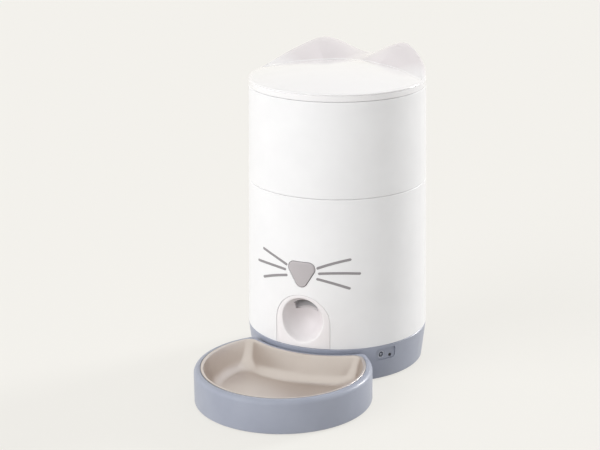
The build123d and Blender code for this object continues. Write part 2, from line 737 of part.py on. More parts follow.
def feed_button():
    middle = (NOSE_TOP_Z + NOSE_POINT_Z) / 2
    low, high = middle - 2 * NOSE_HALF, middle + 2 * NOSE_HALF
    cap = from_front(nose(0), ARCH_HALF, BASE_TOP_R + 2) & tower_layer(-WALL - 1, NOSE_PROUD, low, high)
    flange_front = -WALL - NOSE_GAP
    flange = from_front(nose(NOSE_FLANGE), ARCH_HALF, BASE_TOP_R + 2)
    flange &= tower_layer(flange_front - NOSE_FLANGE_T, flange_front, low, high)
    stem = from_front(Pos(0, NOSE_STEM_Z) * Circle(NOSE_STEM_R), STEM_END_R, tower_r(NOSE_STEM_Z) - WALL - 1)
    return cap + flange + stem


SWITCH_FRONT_R = BUTTON_BOARD_FRONT + SWITCH_T
STEM_END_R = SWITCH_FRONT_R - STEM_END_GAP


def feed_switch():
    body = block((-SWITCH_HALF, SWITCH_HALF), (-SWITCH_FRONT_R, -BUTTON_BOARD_FRONT),
                 (NOSE_STEM_Z - SWITCH_HALF, NOSE_STEM_Z + SWITCH_HALF))
    well = from_front(Pos(0, NOSE_STEM_Z) * Circle(NOSE_STEM_R + RESET_GAP),
                      STEM_END_R - NOSE_TRAVEL - RESET_GAP, SWITCH_FRONT_R)
    return body - well


def button_board():
    return block((-BUTTON_BOARD_HALF, BUTTON_BOARD_HALF),
                 (-BUTTON_BOARD_FRONT, -BUTTON_BOARD_FRONT + BOARD_T),
                 (BUTTON_BOARD_TOP_Z - BUTTON_BOARD_H, BUTTON_BOARD_TOP_Z))


# Metering deck, rotor and drive

def metering_deck():
    body = pillar(DECK_R, DECK_Z, DECK_TOP_Z)
    body += tube(CHAMBER_R, CHAMBER_R + CHAMBER_WALL, DECK_Z, CHAMBER_TOP_Z)
    body -= pillar(SHAFT_R + SHAFT_FIT + BUSH_T, DECK_Z, DECK_TOP_Z)
    body -= block((-CHUTE_HALF, CHUTE_HALF), (CHUTE_FRONT_Y, CHUTE_BACK_Y), (DECK_Z, DECK_TOP_Z))
    for angle in DECK_LUG_ANGLES:
        body -= pillar(SCREW_R + SCREW_FIT, DECK_Z, DECK_TOP_Z, *around(DECK_SCREW_PITCH_R, angle))
    return body


def deck_screws():
    length = DECK_T + DECK_SCREW_DEPTH
    return [screw(*around(DECK_SCREW_PITCH_R, angle), DECK_TOP_Z + SCREW_HEAD_H, length, up=False)
            for angle in DECK_LUG_ANGLES]


def shaft_bush():
    outer = SHAFT_R + SHAFT_FIT + BUSH_T
    body = tube(SHAFT_R + SHAFT_FIT, outer, DECK_Z - BUSH_DROP, DECK_TOP_Z)
    return body + tube(SHAFT_R + SHAFT_FIT, BUSH_FLANGE_R, DECK_TOP_Z, DECK_TOP_Z + BUSH_FLANGE_T)


PITCH_R = GEAR_MODULE * GEAR_TEETH / 2
PINION_PITCH_R = GEAR_MODULE * PINION_TEETH / 2
MOTOR_Y = PITCH_R + PINION_PITCH_R


def rotor_hub():
    body = pillar(HUB_R, ROTOR_Z, ROTOR_Z + HUB_H)
    body = chamfer(body.edges().group_by(Axis.Z)[-1], HUB_CHAMFER)
    return body - pillar(SHAFT_R, ROTOR_Z, ROTOR_Z + HUB_H - HUB_CAP_T)


def rotor_vanes():
    """Soft skirt with blades that sweep the food round to the chute."""
    inner, outer = HUB_R, CHAMBER_R - VANE_TIP_GAP
    body = tube(inner, inner + SLEEVE_T, ROTOR_Z, ROTOR_Z + VANE_H)
    blade = block((-VANE_T / 2, VANE_T / 2), (inner + SLEEVE_T / 2, outer), (ROTOR_Z, ROTOR_Z + VANE_H))
    for index in range(VANE_COUNT):
        body += Rot(0, 0, 360 / VANE_COUNT * index + 180 / VANE_COUNT) * blade
    return body


def rotor_shaft():
    return pillar(SHAFT_R, GEAR_BOTTOM_Z - SHAFT_TAIL, ROTOR_Z + HUB_H - HUB_CAP_T)


def gear_outline(teeth, turn):
    """Spur gear outline with involute flanks, its first tooth at angle turn."""
    pitch_r = GEAR_MODULE * teeth / 2
    base = pitch_r * cos(radians(PRESSURE_ANGLE))
    root = pitch_r - 1.25 * GEAR_MODULE
    tip = pitch_r + GEAR_MODULE
    half = (pi * GEAR_MODULE / 4 - BACKLASH / 4) / pitch_r

    def involute(radius):
        if radius <= base:
            return 0.0
        angle = acos(base / radius)
        return tan(angle) - angle

    flank = [root, max(base, root + 0.1), pitch_r, tip]
    points = []
    for index in range(teeth):
        centre = turn + 2 * pi * index / teeth
        for side, radii in ((-1, flank), (1, flank[::-1])):
            for radius in radii:
                angle = centre + side * (half + involute(pitch_r) - involute(radius))
                points.append((radius * cos(angle), radius * sin(angle)))
    return make_face(Polyline(*points, close=True))


def drive_gear():
    gear = extrude(Pos(0, 0, GEAR_BOTTOM_Z) * gear_outline(GEAR_TEETH, pi / 2), amount=GEAR_T)
    return gear - pillar(SHAFT_R, GEAR_BOTTOM_Z, GEAR_TOP_Z)


def motor_pinion():
    turn = -pi / 2 + pi / PINION_TEETH
    gear = extrude(Pos(0, MOTOR_Y, GEAR_BOTTOM_Z) * gear_outline(PINION_TEETH, turn), amount=GEAR_T)
    return gear - pillar(MOTOR_SHAFT_R, GEAR_BOTTOM_Z, GEAR_TOP_Z, 0, MOTOR_Y)


def pinion_shaft():
    return pillar(MOTOR_SHAFT_R, BRACKET_TOP_Z - BRACKET_T + SEAM_GAP, GEAR_TOP_Z, 0, MOTOR_Y)


def standoff_places():
    side = BRACKET_HALF - STANDOFF_INSET
    near, far = MOTOR_Y + STANDOFF_SETBACK, MOTOR_Y + side
    return (-side, near), (side, near), (0, far)


def motor_bracket():
    low = BRACKET_TOP_Z - BRACKET_T
    body = block((-BRACKET_HALF, BRACKET_HALF), (MOTOR_Y - GEARBOX_R, MOTOR_Y + BRACKET_HALF), (low, BRACKET_TOP_Z))
    body -= pillar(2 * MOTOR_SHAFT_R, low, BRACKET_TOP_Z, 0, MOTOR_Y)
    for x, y in standoff_places():
        body += pillar(STANDOFF_R, BRACKET_TOP_Z, DECK_Z, x, y)
    return body


def gear_motor():
    top = BRACKET_TOP_Z - BRACKET_T
    body = pillar(GEARBOX_R, top - GEARBOX_H, top, 0, MOTOR_Y)
    body += pillar(MOTOR_CAN_R, top - GEARBOX_H - MOTOR_CAN_H, top - GEARBOX_H, 0, MOTOR_Y)
    return body


# Hopper: upper housing and the tank inside it

def upper_shell():
    low, high = HOPPER_SEAM_Z + SEAM_GAP, LID_SEAM_Z
    body = tapered_shell(tower_r, low, high)
    ledge = tower_layer(-WALL - LEDGE_REACH, -WALL / 2, LEDGE_TOP_Z - RING_H, LEDGE_TOP_Z)
    return body + ledge


def hopper_tank():
    flange_r = tower_r(TANK_TOP_Z) - WALL - SEAM_GAP
    body = tube(TANK_R - TANK_WALL, TANK_R, TANK_CONE_Z, TANK_TOP_Z)
    return body + tube(TANK_R - TANK_WALL, flange_r, LEDGE_TOP_Z, TANK_TOP_Z)


def funnel_body(wall):
    """Funnel and its short spout as one solid, drawn in by wall all over."""
    mouth = Pos(0, THROAT_Y, COVER_Z + COVER_T) * Circle(THROAT_R - wall)
    wide = Pos(0, 0, TANK_CONE_Z) * Circle(TANK_R - wall)
    spout = pillar(THROAT_R - wall, COVER_Z, COVER_Z + COVER_T, 0, THROAT_Y)
    return loft([mouth, wide], ruled=True) + spout


def hopper_funnel():
    return funnel_body(0) - funnel_body(TANK_WALL)


def hopper_cover():
    """Cover that closes the metering chamber when the hopper is in place."""
    rim_r = CHAMBER_R + CHAMBER_WALL + COVER_CLEARANCE
    body = pillar(rim_r + COVER_SKIRT_T, COVER_Z, COVER_Z + COVER_T)
    body += tube(rim_r, rim_r + COVER_SKIRT_T, COVER_Z - COVER_SKIRT_H, COVER_Z)
    return body - pillar(THROAT_R + SCREW_FIT, COVER_Z, COVER_Z + COVER_T, 0, THROAT_Y)


# Lid

def lid_body(wall):
    """Domed lid without its ears, drawn in by wall."""
    foot = LID_SEAM_Z + SEAM_GAP
    rim = tower_r(LID_EDGE_Z) - wall
    edge_z, shoulder_z, top = LID_EDGE_Z - wall, DOME_SHOULDER_Z - wall, DOME_TOP_Z - wall
    shoulder = rim - LID_EDGE_R
    ball = (shoulder ** 2 + (top - shoulder_z) ** 2) / (2 * (top - shoulder_z))
    halfway = (shoulder / 2, top - ball + sqrt(ball ** 2 - shoulder ** 2 / 4))
    profile = make_face([
        Line((0, foot), (tower_r(foot) - wall, foot)),
        Line((tower_r(foot) - wall, foot), (rim, edge_z)),
        ThreePointArc((rim, edge_z), (rim - LID_EDGE_R * 0.3, edge_z + LID_EDGE_R * 0.66), (shoulder, shoulder_z)),
        ThreePointArc((shoulder, shoulder_z), halfway, (0, top)),
        Line((0, top), (0, foot)),
    ])
    return revolve(Plane.XZ * profile, Axis.Z)


def ear_outline(drop):
    """The ears seen from the front, lowered by drop, down into the lid's skirt."""
    rim = tower_r(EAR_END_Z) + 1
    tip, saddle, end = EAR_TIP_Z - drop, EAR_SADDLE_Z - drop, EAR_END_Z - drop
    foot = LID_SEAM_Z + WALL
    edges = [Line((-rim, foot), (rim, foot))]
    for side in (-1, 1):
        edges.append(Bezier((0, saddle), (side * EAR_TIP_X * EAR_SADDLE_PULL, saddle),
                            (side * EAR_TIP_X * EAR_TIP_PULL, tip), (side * EAR_TIP_X, tip)))
        edges.append(Bezier((side * EAR_TIP_X, tip), (side * (EAR_TIP_X + EAR_TIP_ROUND), tip),
                            (side * (rim - EAR_END_ROUND), end + EAR_END_ROUND), (side * rim, end)))
        edges.append(Line((side * rim, end), (side * rim, foot)))
    return make_face(edges)


def ears(wall):
    """Crescent behind the dome with two peaks and a sloping front, drawn in by wall."""
    band = from_front(ear_outline(wall), -BASE_TOP_R, 0)
    low, high = LID_SEAM_Z + WALL - 1, EAR_TIP_Z + 1
    inset = EAR_INSET + wall
    band &= turned([(0, low), (tower_r(low) - inset, low), (tower_r(high) - inset, high), (0, high)])
    low_r = CREASE_R + (low - CREASE_Z) * EAR_SLOPE + wall * EAR_SLOPE
    high_r = CREASE_R + (high - CREASE_Z) * EAR_SLOPE + wall * EAR_SLOPE
    front = Pos(0, CREASE_CENTRE_Y, low) * Cone(low_r, high_r, high - low, align=STANDING)
    return band - front


def lid_shell():
    body = lid_body(0) + ears(0)
    return body - lid_body(LID_WALL) - ears(LID_WALL)


def lid_liner():
    radius = tower_r(LINER_Z) - LID_WALL - SEAM_GAP
    body = pillar(radius, LINER_Z, LINER_Z + LINER_T)
    return body + tube(PLUG_R - PLUG_T, PLUG_R, LINER_Z - PLUG_DEPTH, LINER_Z)


def lid_seal():
    low = LINER_Z - PLUG_DEPTH + SEAL_LIFT
    return tube(PLUG_R, TANK_R - TANK_WALL - SEAL_GAP, low, low + SEAL_H)


def desiccant_box():
    low = LINER_Z - DESICCANT_H
    body = pillar(DESICCANT_R, low, LINER_Z) - pillar(DESICCANT_R - DESICCANT_WALL, low + DESICCANT_WALL, LINER_Z)
    pitch = 2 * DESICCANT_R / (DESICCANT_SLOTS + 1)
    for index in range(DESICCANT_SLOTS):
        x = (index - (DESICCANT_SLOTS - 1) / 2) * pitch
        half = sqrt((DESICCANT_R - DESICCANT_SLOT_MARGIN) ** 2 - x ** 2)
        body -= block((x - DESICCANT_SLOT_HALF, x + DESICCANT_SLOT_HALF), (-half, half), (low, low + DESICCANT_WALL))
    return body


# Tray and dish

def crescent(front_r, back_r, corner_r):
    """Circle about the tray's centre with a hollow back about the tower's axis."""
    y = (front_r ** 2 - back_r ** 2 - TRAY_CENTRE_Y ** 2) / (-2 * TRAY_CENTRE_Y)
    x = sqrt(back_r ** 2 - y ** 2)
    face = make_face([
        ThreePointArc((-x, y), (0, TRAY_CENTRE_Y - front_r), (x, y)),
        ThreePointArc((x, y), (0, -back_r), (-x, y)),
    ])
    return fillet(face.vertices(), corner_r)


def tray_outline(inset):
    return crescent(TRAY_R - inset, TRAY_BACK_R + inset, TRAY_CORNER_R)


def dish_outline(inset):
    return crescent(DISH_RIM_R - inset, DISH_BACK_R + inset, DISH_CORNER_R)


def slab(face, low, high):
    return extrude(Pos(0, 0, low) * face, amount=high - low)


def bowl_tray():
    body = slab(tray_outline(0), FOOT_H, TRAY_TOP_Z)
    body = fillet(body.edges().group_by(Axis.Z)[-1], TRAY_TOP_ROUND)
    body = fillet(body.edges().group_by(Axis.Z)[0], TRAY_FOOT_ROUND)
    body -= slab(tray_outline(TRAY_WALL), FOOT_H + TRAY_FLOOR_T, TRAY_TOP_Z - TRAY_TOP_T)
    body -= slab(dish_outline(DISH_LIP - DISH_FIT), TRAY_TOP_Z - 2 * TRAY_TOP_T, TRAY_TOP_Z + 1)
    body -= slab(dish_outline(-DISH_FIT), TRAY_TOP_Z - DISH_SEAT_DEPTH, TRAY_TOP_Z + 1)
    body += block((-TONGUE_HALF, TONGUE_HALF), (-TRAY_BACK_R - TRAY_WALL / 2, -TRAY_BACK_R + TONGUE_REACH),
                  (TONGUE_Z, TONGUE_Z + TONGUE_T))
    return body


def tray_feet():
    side, back = TRAY_R - TRAY_FOOT_SIDE_INSET, TRAY_CENTRE_Y + TRAY_FOOT_SETBACK
    spots = (0, FRONT_Y + TRAY_FOOT_INSET), (side, back), (-side, back)
    return [pillar(TRAY_FOOT_R, 0, FOOT_H, x, y) for x, y in spots]


def dish_bowl(wall, top):
    low = DISH_RIM_Z - DISH_DEPTH + wall
    wide = Pos(0, 0, top) * dish_outline(DISH_LIP + wall)
    narrow = Pos(0, 0, low) * dish_outline(DISH_LIP + DISH_SLOPE + wall)
    body = loft([narrow, wide], ruled=True)
    return fillet(body.edges().group_by(Axis.Z)[0], DISH_FLOOR_R - wall)


def steel_dish():
    rim_top = DISH_RIM_Z + DISH_SHEET
    body = dish_bowl(0, rim_top) + slab(dish_outline(0), DISH_RIM_Z, rim_top)
    return body - dish_bowl(DISH_SHEET, rim_top + 0.01)


NODES = {
    "base_shell": base_shell,
    "base_plate": base_plate,
    "base_feet": base_feet,
    "base_screws": base_screws,
    "joint_screws": joint_screws,
    "port_plate": port_plate,
    "dc_jack": dc_jack,
    "reset_button": reset_button,
    "reset_switch": reset_switch,
    "control_board": control_board,
    "wifi_module": wifi_module,
    "board_parts": board_parts,
    "lower_shell": lower_shell,
    "whisker_inlays": whisker_inlays,
    "chute_panel": chute_panel,
    "chute_duct": chute_duct,
    "food_sensors": food_sensors,
    "feed_button": feed_button,
    "feed_switch": feed_switch,
    "button_board": button_board,
    "metering_deck": metering_deck,
    "deck_screws": deck_screws,
    "shaft_bush": shaft_bush,
    "rotor_hub": rotor_hub,
    "rotor_vanes": rotor_vanes,
    "rotor_shaft": rotor_shaft,
    "drive_gear": drive_gear,
    "motor_pinion": motor_pinion,
    "pinion_shaft": pinion_shaft,
    "motor_bracket": motor_bracket,
    "gear_motor": gear_motor,
    "upper_shell": upper_shell,
    "hopper_tank": hopper_tank,
    "hopper_funnel": hopper_funnel,
    "hopper_cover": hopper_cover,
    "lid_shell": lid_shell,
    "lid_liner": lid_liner,
    "lid_seal": lid_seal,
    "desiccant_box": desiccant_box,
    "bowl_tray": bowl_tray,
    "tray_feet": tray_feet,
    "steel_dish": steel_dish,
}

os.makedirs("parts", exist_ok=True)
for name, make in NODES.items():
    made = make()
    pieces = made if isinstance(made, list) else [made]
    solids = [solid for piece in pieces for solid in piece.solids()]
    moved = [Pos(0, SHIFT_Y, 0) * solid for solid in solids]
    export_step(moved[0] if len(moved) == 1 else Compound(moved), f"parts/{name}.step")
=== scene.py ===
import math

import bmesh
import bpy
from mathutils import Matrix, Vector


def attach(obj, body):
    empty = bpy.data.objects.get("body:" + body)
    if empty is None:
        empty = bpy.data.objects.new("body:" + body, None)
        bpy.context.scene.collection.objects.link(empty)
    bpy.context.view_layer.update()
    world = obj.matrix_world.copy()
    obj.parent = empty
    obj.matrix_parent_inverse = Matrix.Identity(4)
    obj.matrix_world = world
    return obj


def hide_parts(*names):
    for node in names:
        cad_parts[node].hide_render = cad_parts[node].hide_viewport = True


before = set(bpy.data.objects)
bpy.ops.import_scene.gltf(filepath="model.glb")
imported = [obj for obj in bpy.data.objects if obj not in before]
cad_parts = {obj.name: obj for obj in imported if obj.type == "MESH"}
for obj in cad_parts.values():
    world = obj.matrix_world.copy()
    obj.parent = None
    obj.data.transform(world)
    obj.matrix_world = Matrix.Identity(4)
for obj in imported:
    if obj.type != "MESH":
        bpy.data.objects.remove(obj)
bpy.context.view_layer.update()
mm = 0.001
axisY = 68.75  # the tower's axis stands this far behind the middle of the footprint
print("frame loaded:", len(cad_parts), "solids")

tower = {
    "baseZ": 40.0, "baseR": 98.0, "lidZ": 304.5, "topR": 94.0, "wall": 2.6, "bevel": 0.7,
}


def towerR(z):
    share = (z - tower["baseZ"]) / (tower["lidZ"] - tower["baseZ"])
    return tower["baseR"] + (tower["topR"] - tower["baseR"]) * share


def faceY(x, z, proud=0.0):
    # front surface of the white tower, seen from the front
    return -math.sqrt(max((towerR(z) + proud) ** 2 - x * x, 0.0))


def lerp(a, b, t):
    return a + (b - a) * t


def smoothStep(a, b, x):
    t = min(max((x - a) / (b - a), 0.0), 1.0)
    return t * t * (3 - 2 * t)


# node trees, written as plain expressions

class Sock:
    # one output of a node, which takes part in plain expressions
    def __init__(self, tree, out):
        self.tree = tree
        self.out = out

    def maths(self, operation, a, b):
        return self.tree.node("ShaderNodeMath", {"operation": operation}, {0: a, 1: b})

    def __add__(self, other):
        return self.maths("ADD", self, other)

    def __radd__(self, other):
        return self.maths("ADD", other, self)

    def __sub__(self, other):
        return self.maths("SUBTRACT", self, other)

    def __rsub__(self, other):
        return self.maths("SUBTRACT", other, self)

    def __mul__(self, other):
        return self.maths("MULTIPLY", self, other)

    def __rmul__(self, other):
        return self.maths("MULTIPLY", other, self)

    def __pow__(self, other):
        return self.maths("POWER", self, other)

    def __truediv__(self, other):
        return self.maths("DIVIDE", self, other)

    def __lt__(self, other):
        return self.maths("LESS_THAN", self, other)


class Tree:
    def __init__(self, tree):
        self.tree = tree
        self.tree.nodes.clear()

    def node(self, kind, settings=None, sockets=None, out=0):
        made = self.tree.nodes.new(kind)
        for key, value in (settings or {}).items():
            if key == "stops":
                ramp = made.color_ramp
                for place, shade in value[1:-1]:
                    ramp.elements.new(place).color = shade
                for end in (0, -1):
                    ramp.elements[end].position, ramp.elements[end].color = value[end]
            else:
                setattr(made, key, value)
        for key, value in (sockets or {}).items():
            if isinstance(key, int):
                socket = made.inputs[key]
            else:
                socket = next(s for s in made.inputs if key in (s.identifier, s.name))
            if isinstance(value, Sock):
                self.tree.links.new(value.out, socket)
            elif value is not None:
                socket.default_value = value
        return Sock(self, made.outputs[out] if made.outputs else None)

    def join(self, part, into):
        # one more part for the many-part input of a boolean node
        self.tree.links.new(part.out, into.out.node.inputs[1])

    def raised(self, geometry, height):
        lift = self.node("ShaderNodeCombineXYZ", {}, {"Z": height})
        return self.node("GeometryNodeTransform", {}, {"Geometry": geometry, "Translation": lift})


class Paint(Tree):
    def __init__(self, name):
        self.material = bpy.data.materials.new(name)
        self.material.use_nodes = True
        super().__init__(self.material.node_tree)
        self.place = self.node("ShaderNodeTexCoord", out=3)

    def noise(self, size, detail=2.0, rough=0.5, stretch=None):
        place = self.place
        if stretch:
            place = self.node("ShaderNodeMapping", {}, {"Vector": place, "Scale": stretch})
        return self.node("ShaderNodeTexNoise", {}, {
            "Vector": place, "Scale": 1 / (size * mm), "Detail": detail, "Roughness": rough})

    def ramp(self, value, *stops):
        grey = [(at, (v, v, v, 1)) for at, v in stops]
        return self.node("ShaderNodeValToRGB", {"stops": grey}, {0: value})

    def mix(self, factor, a, b):
        return self.node("ShaderNodeMix", {"data_type": "RGBA"},
                         {"Factor_Float": factor, "A_Color": a, "B_Color": b}, 2)

    def bump(self, height, depth, strength):
        return self.node("ShaderNodeBump", {}, {
            "Height": height, "Distance": depth * mm, "Strength": strength})

    def finish(self, **sockets):
        names = {"colour": "Base Color", "rough": "Roughness", "metal": "Metallic", "normal": "Normal",
                 "coat": "Coat Weight", "coatRough": "Coat Roughness", "ior": "IOR"}
        shader = self.node("ShaderNodeBsdfPrincipled", {}, {names[k]: v for k, v in sockets.items()})
        self.node("ShaderNodeOutputMaterial", {}, {"Surface": shader})
        return self.material


class Shape(Tree):
    # a geometry node tree with named inputs for its sizes
    kinds = {float: "NodeSocketFloat", int: "NodeSocketInt", bpy.types.Material: "NodeSocketMaterial"}

    def __init__(self, name, **inputs):
        self.group = bpy.data.node_groups.new(name, "GeometryNodeTree")
        super().__init__(self.group)
        face = self.group.interface
        face.new_socket("Geometry", in_out="OUTPUT", socket_type="NodeSocketGeometry")
        face.new_socket("Geometry", in_out="INPUT", socket_type="NodeSocketGeometry")
        self.sockets = {}
        for key, value in inputs.items():
            made = face.new_socket(key, in_out="INPUT", socket_type=self.kinds[type(value)])
            self.sockets[key] = (made.identifier, value)
        given = self.tree.nodes.new("NodeGroupInput")
        self.given = {out.name: Sock(self, out) for out in given.outputs if out.name}

    def end(self, geometry):
        real = self.node("GeometryNodeRealizeInstances", {}, {0: geometry})
        dressed = self.node("GeometryNodeSetMaterial", {}, {
            "Geometry": real, "Material": self.given["Material"]})
        self.node("NodeGroupOutput", {}, {0: dressed})
        return self

    def grow(self, name, places):
        # a plain mesh of this tree's shape at each place, in millimetres about the tower's axis
        mesh = bpy.data.meshes.new(name)
        mesh.from_pydata([(x * mm, (y + axisY) * mm, z * mm) for x, y, z in places], [], [])
        made = bpy.data.objects.new(name, mesh)
        bpy.context.scene.collection.objects.link(made)
        work = made.modifiers.new("shape", "NODES")
        work.node_group = self.group
        for identifier, value in self.sockets.values():
            work[identifier] = value
        return baked(made)


def rgb(r, g, b):
    return (r, g, b, 1.0)


def toLinear(r, g, b):
    # a colour as seen on a screen, 0 to 255
    def one(v):
        v /= 255
        return v / 12.92 if v <= 0.04045 else ((v + 0.055) / 1.055) ** 2.4
    return (one(r), one(g), one(b), 1.0)


# finishes

plastics = {
    # screen colour, second colour it drifts to, roughness, grain size and depth in mm, clear gloss
    "whiteShell": {"main": (243, 243, 244), "drift": (240, 240, 241), "rough": 0.30,
        "grain": 1.6, "depth": 0.012, "coat": 0.35},
    "whiteLid": {"main": (244, 243, 244), "drift": (241, 240, 241), "rough": 0.12,
        "grain": 2.4, "depth": 0.003, "coat": 1.0},
    "panelWhite": {"main": (243, 240, 241), "drift": (240, 237, 238), "rough": 0.34,
        "grain": 1.6, "depth": 0.012, "coat": 0.2},
    "greyBase": {"main": (163, 168, 182), "drift": (157, 162, 177), "rough": 0.42,
        "grain": 0.55, "depth": 0.03, "coat": 0.1},
    "portGrey": {"main": (158, 163, 178), "drift": (152, 157, 172), "rough": 0.36,
        "grain": 0.6, "depth": 0.02, "coat": 0.1},
    "jackGrey": {"main": (192, 196, 206), "drift": (186, 190, 200), "rough": 0.36,
        "grain": 0.6, "depth": 0.02, "coat": 0.1},
    "noseGrey": {"main": (189, 184, 186), "drift": (184, 179, 181), "rough": 0.38,
        "grain": 0.5, "depth": 0.02, "coat": 0.1},
    "whiskerGrey": {"main": (152, 149, 151), "drift": (146, 143, 145), "rough": 0.45,
        "grain": 0.5, "depth": 0.02, "coat": 0.0},
    "innerPlastic": {"main": (228, 228, 226), "drift": (221, 221, 218), "rough": 0.45,
        "grain": 0.8, "depth": 0.03, "coat": 0.0},
    # darker than the other inner plastic, as painted shade inside the chute's opening
    "ductPaintedShade": {"main": (202, 200, 202), "drift": (195, 193, 195), "rough": 0.5,
        "grain": 0.8, "depth": 0.03, "coat": 0.0},
    "tankPlastic": {"main": (226, 229, 231), "drift": (219, 223, 226), "rough": 0.34,
        "grain": 0.9, "depth": 0.02, "coat": 0.1},
    "blackPlastic": {"main": (38, 38, 40), "drift": (30, 30, 32), "rough": 0.42,
        "grain": 0.4, "depth": 0.03, "coat": 0.0},
    "gearNylon": {"main": (231, 226, 206), "drift": (224, 218, 196), "rough": 0.4,
        "grain": 0.7, "depth": 0.02, "coat": 0.0},
    "bushAcetal": {"main": (236, 234, 226), "drift": (229, 227, 217), "rough": 0.32,
        "grain": 0.7, "depth": 0.02, "coat": 0.0},
    "vaneSilicone": {"main": (168, 186, 196), "drift": (158, 177, 188), "rough": 0.55,
        "grain": 0.5, "depth": 0.04, "coat": 0.0},
    "sealSilicone": {"main": (214, 216, 220), "drift": (206, 208, 213), "rough": 0.6,
        "grain": 0.5, "depth": 0.04, "coat": 0.0},
    "footRubber": {"main": (44, 44, 46), "drift": (35, 35, 37), "rough": 0.8,
        "grain": 0.45, "depth": 0.06, "coat": 0.0},
}


mould = {
    # mm, detail and roughness of two noises: the slow drift of tone, and handling seen only in the gloss
    "cloud": (38, 3.0, 0.55), "smudge": (9, 4.0, 0.6),
    "driftFrom": 0.35, "driftTo": 0.65, "glossLow": 0.04, "glossSpread": 0.08,
    "grainStrength": 0.6, "coatRough": 0.12, "ior": 1.5,
}


def moulded(name, main, drift, rough, grain, depth, coat):
    paint = Paint(name)
    cloud = paint.noise(*mould["cloud"])
    smudge = paint.noise(*mould["smudge"])
    drifted = paint.ramp(cloud, (mould["driftFrom"], 0.0), (mould["driftTo"], 1.0))
    return paint.finish(
        colour=paint.mix(drifted, toLinear(*main), toLinear(*drift)),
        rough=rough - mould["glossLow"] + mould["glossSpread"] * smudge,
        coat=coat, coatRough=mould["coatRough"],
        normal=paint.bump(paint.noise(grain), depth, mould["grainStrength"]), ior=mould["ior"])


finish = {name: moulded(name, **values) for name, values in plastics.items()}

paintedShades = {
    # painted shade: a greyer colour on the ears' inner faces and inside the scoop, for the shade they get,
    # with where it starts and is full:
    # mm above the dome, radius in mm, sideways share of the radius, mm behind the panel's face
    "ears": {"colour": (225, 219, 221), "rise": (0.05, 0.8), "radius": (93.2, 92.2), "end": (1.0, 0.86)},
    "scoop": {"colour": (222, 217, 219), "depth": (1.0, 15.0)},
}


def between(paint, value, start, full):
    return paint.node("ShaderNodeMapRange", {}, {
        "Value": value, "From Min": start, "From Max": full, "To Min": 0.0, "To Max": 1.0})


def towerPlace(paint):
    # object coordinates in millimetres about the tower's axis
    apart = paint.node("ShaderNodeSeparateXYZ", {}, {0: paint.place})
    x, y, z = [Sock(paint, apart.out.node.outputs[i]) / mm for i in range(3)]
    return x, y - axisY, z


def withPaintedShade(paint, plain, share, colour):
    shell = paint.mix(paint.noise(*mould["cloud"]), toLinear(*plain["main"]), toLinear(*plain["drift"]))
    # the plain finish, with the painted shade's colour mixed in by the share
    return paint.finish(
        colour=paint.mix(share, shell, toLinear(*colour)),
        rough=plain["rough"] - mould["glossLow"] + mould["glossSpread"] * paint.noise(*mould["smudge"]),
        coat=plain["coat"], coatRough=plain["rough"] / 3,
        normal=paint.bump(paint.noise(plain["grain"]), plain["depth"], mould["grainStrength"]),
        ior=mould["ior"])


def lidPaint():
    paint = Paint("lidWhitePaintedShade")
    # painted shade on the ears' inner faces: above the dome and inside the rim, fading out sideways towards
    # the ears' ends
    paintedShade = paintedShades["ears"]
    x, y, z = towerPlace(paint)
    r = (x * x + y * y) ** 0.5
    dome = lid["crownZ"] - lidBall() + (lidBall() ** 2 - r * r) ** 0.5
    sideways = (x * x) ** 0.5 / r
    share = between(paint, z - dome, *paintedShade["rise"]) * between(paint, r, *paintedShade["radius"])
    share = share * between(paint, sideways, *paintedShade["end"])
    return withPaintedShade(paint, plastics["whiteLid"], share, paintedShade["colour"])


def panelPaint():
    paint = Paint("panelPaintedShade")
    # painted shade in the scoop: greyer the deeper it lies behind the panel's face
    paintedShade = paintedShades["scoop"]
    x, y, z = towerPlace(paint)
    behind = y + (towerR(panel["scoopZ"]) ** 2 - x * x) ** 0.5
    return withPaintedShade(paint, plastics["panelWhite"], between(paint, behind, *paintedShade["depth"]), paintedShade["colour"])


metals = {
    # screen colour, second colour, roughness, stretch of the brushed lines, their size and depth in mm
    "dishSteel": {"main": (217, 210, 206), "drift": (209, 201, 196), "rough": 0.36,
        "brush": (1, 1, 8), "grain": 14.0, "depth": 0.0},
    "platedSteel": {"main": (190, 190, 194), "drift": (172, 172, 177), "rough": 0.34,
        "brush": (1, 1, 1), "grain": 1.0, "depth": 0.01},
    "tinCan": {"main": (196, 197, 200), "drift": (182, 183, 187), "rough": 0.38,
        "brush": (1, 1, 10), "grain": 3.0, "depth": 0.01},
}


brushed = {"cloud": (22, 3.0, 0.5), "glossLow": 0.02, "glossSpread": 0.04, "lineStrength": 0.5}


def metal(name, main, drift, rough, brush, grain, depth):
    paint = Paint(name)
    cloud = paint.noise(*brushed["cloud"])
    lines = paint.noise(grain, stretch=brush)
    return paint.finish(
        colour=paint.mix(cloud, toLinear(*main), toLinear(*drift)), metal=1.0,
        rough=rough - brushed["glossLow"] + brushed["glossSpread"] * lines,
        normal=paint.bump(lines, depth, brushed["lineStrength"]) if depth else None)


finish.update({name: metal(name, **values) for name, values in metals.items()})


board = {
    "trackScale": 190.0, "trackWidth": 0.06, "padScale": 260.0, "padWidth": 0.16,
    "mask": (0.012, 0.11, 0.045), "track": (0.03, 0.22, 0.09), "pad": (0.62, 0.60, 0.52),
    "rough": 0.42, "padGloss": 0.12, "padMetal": 0.9, "coat": 0.3, "coatRough": 0.2,
    "depth": 0.03, "strength": 0.6,
}


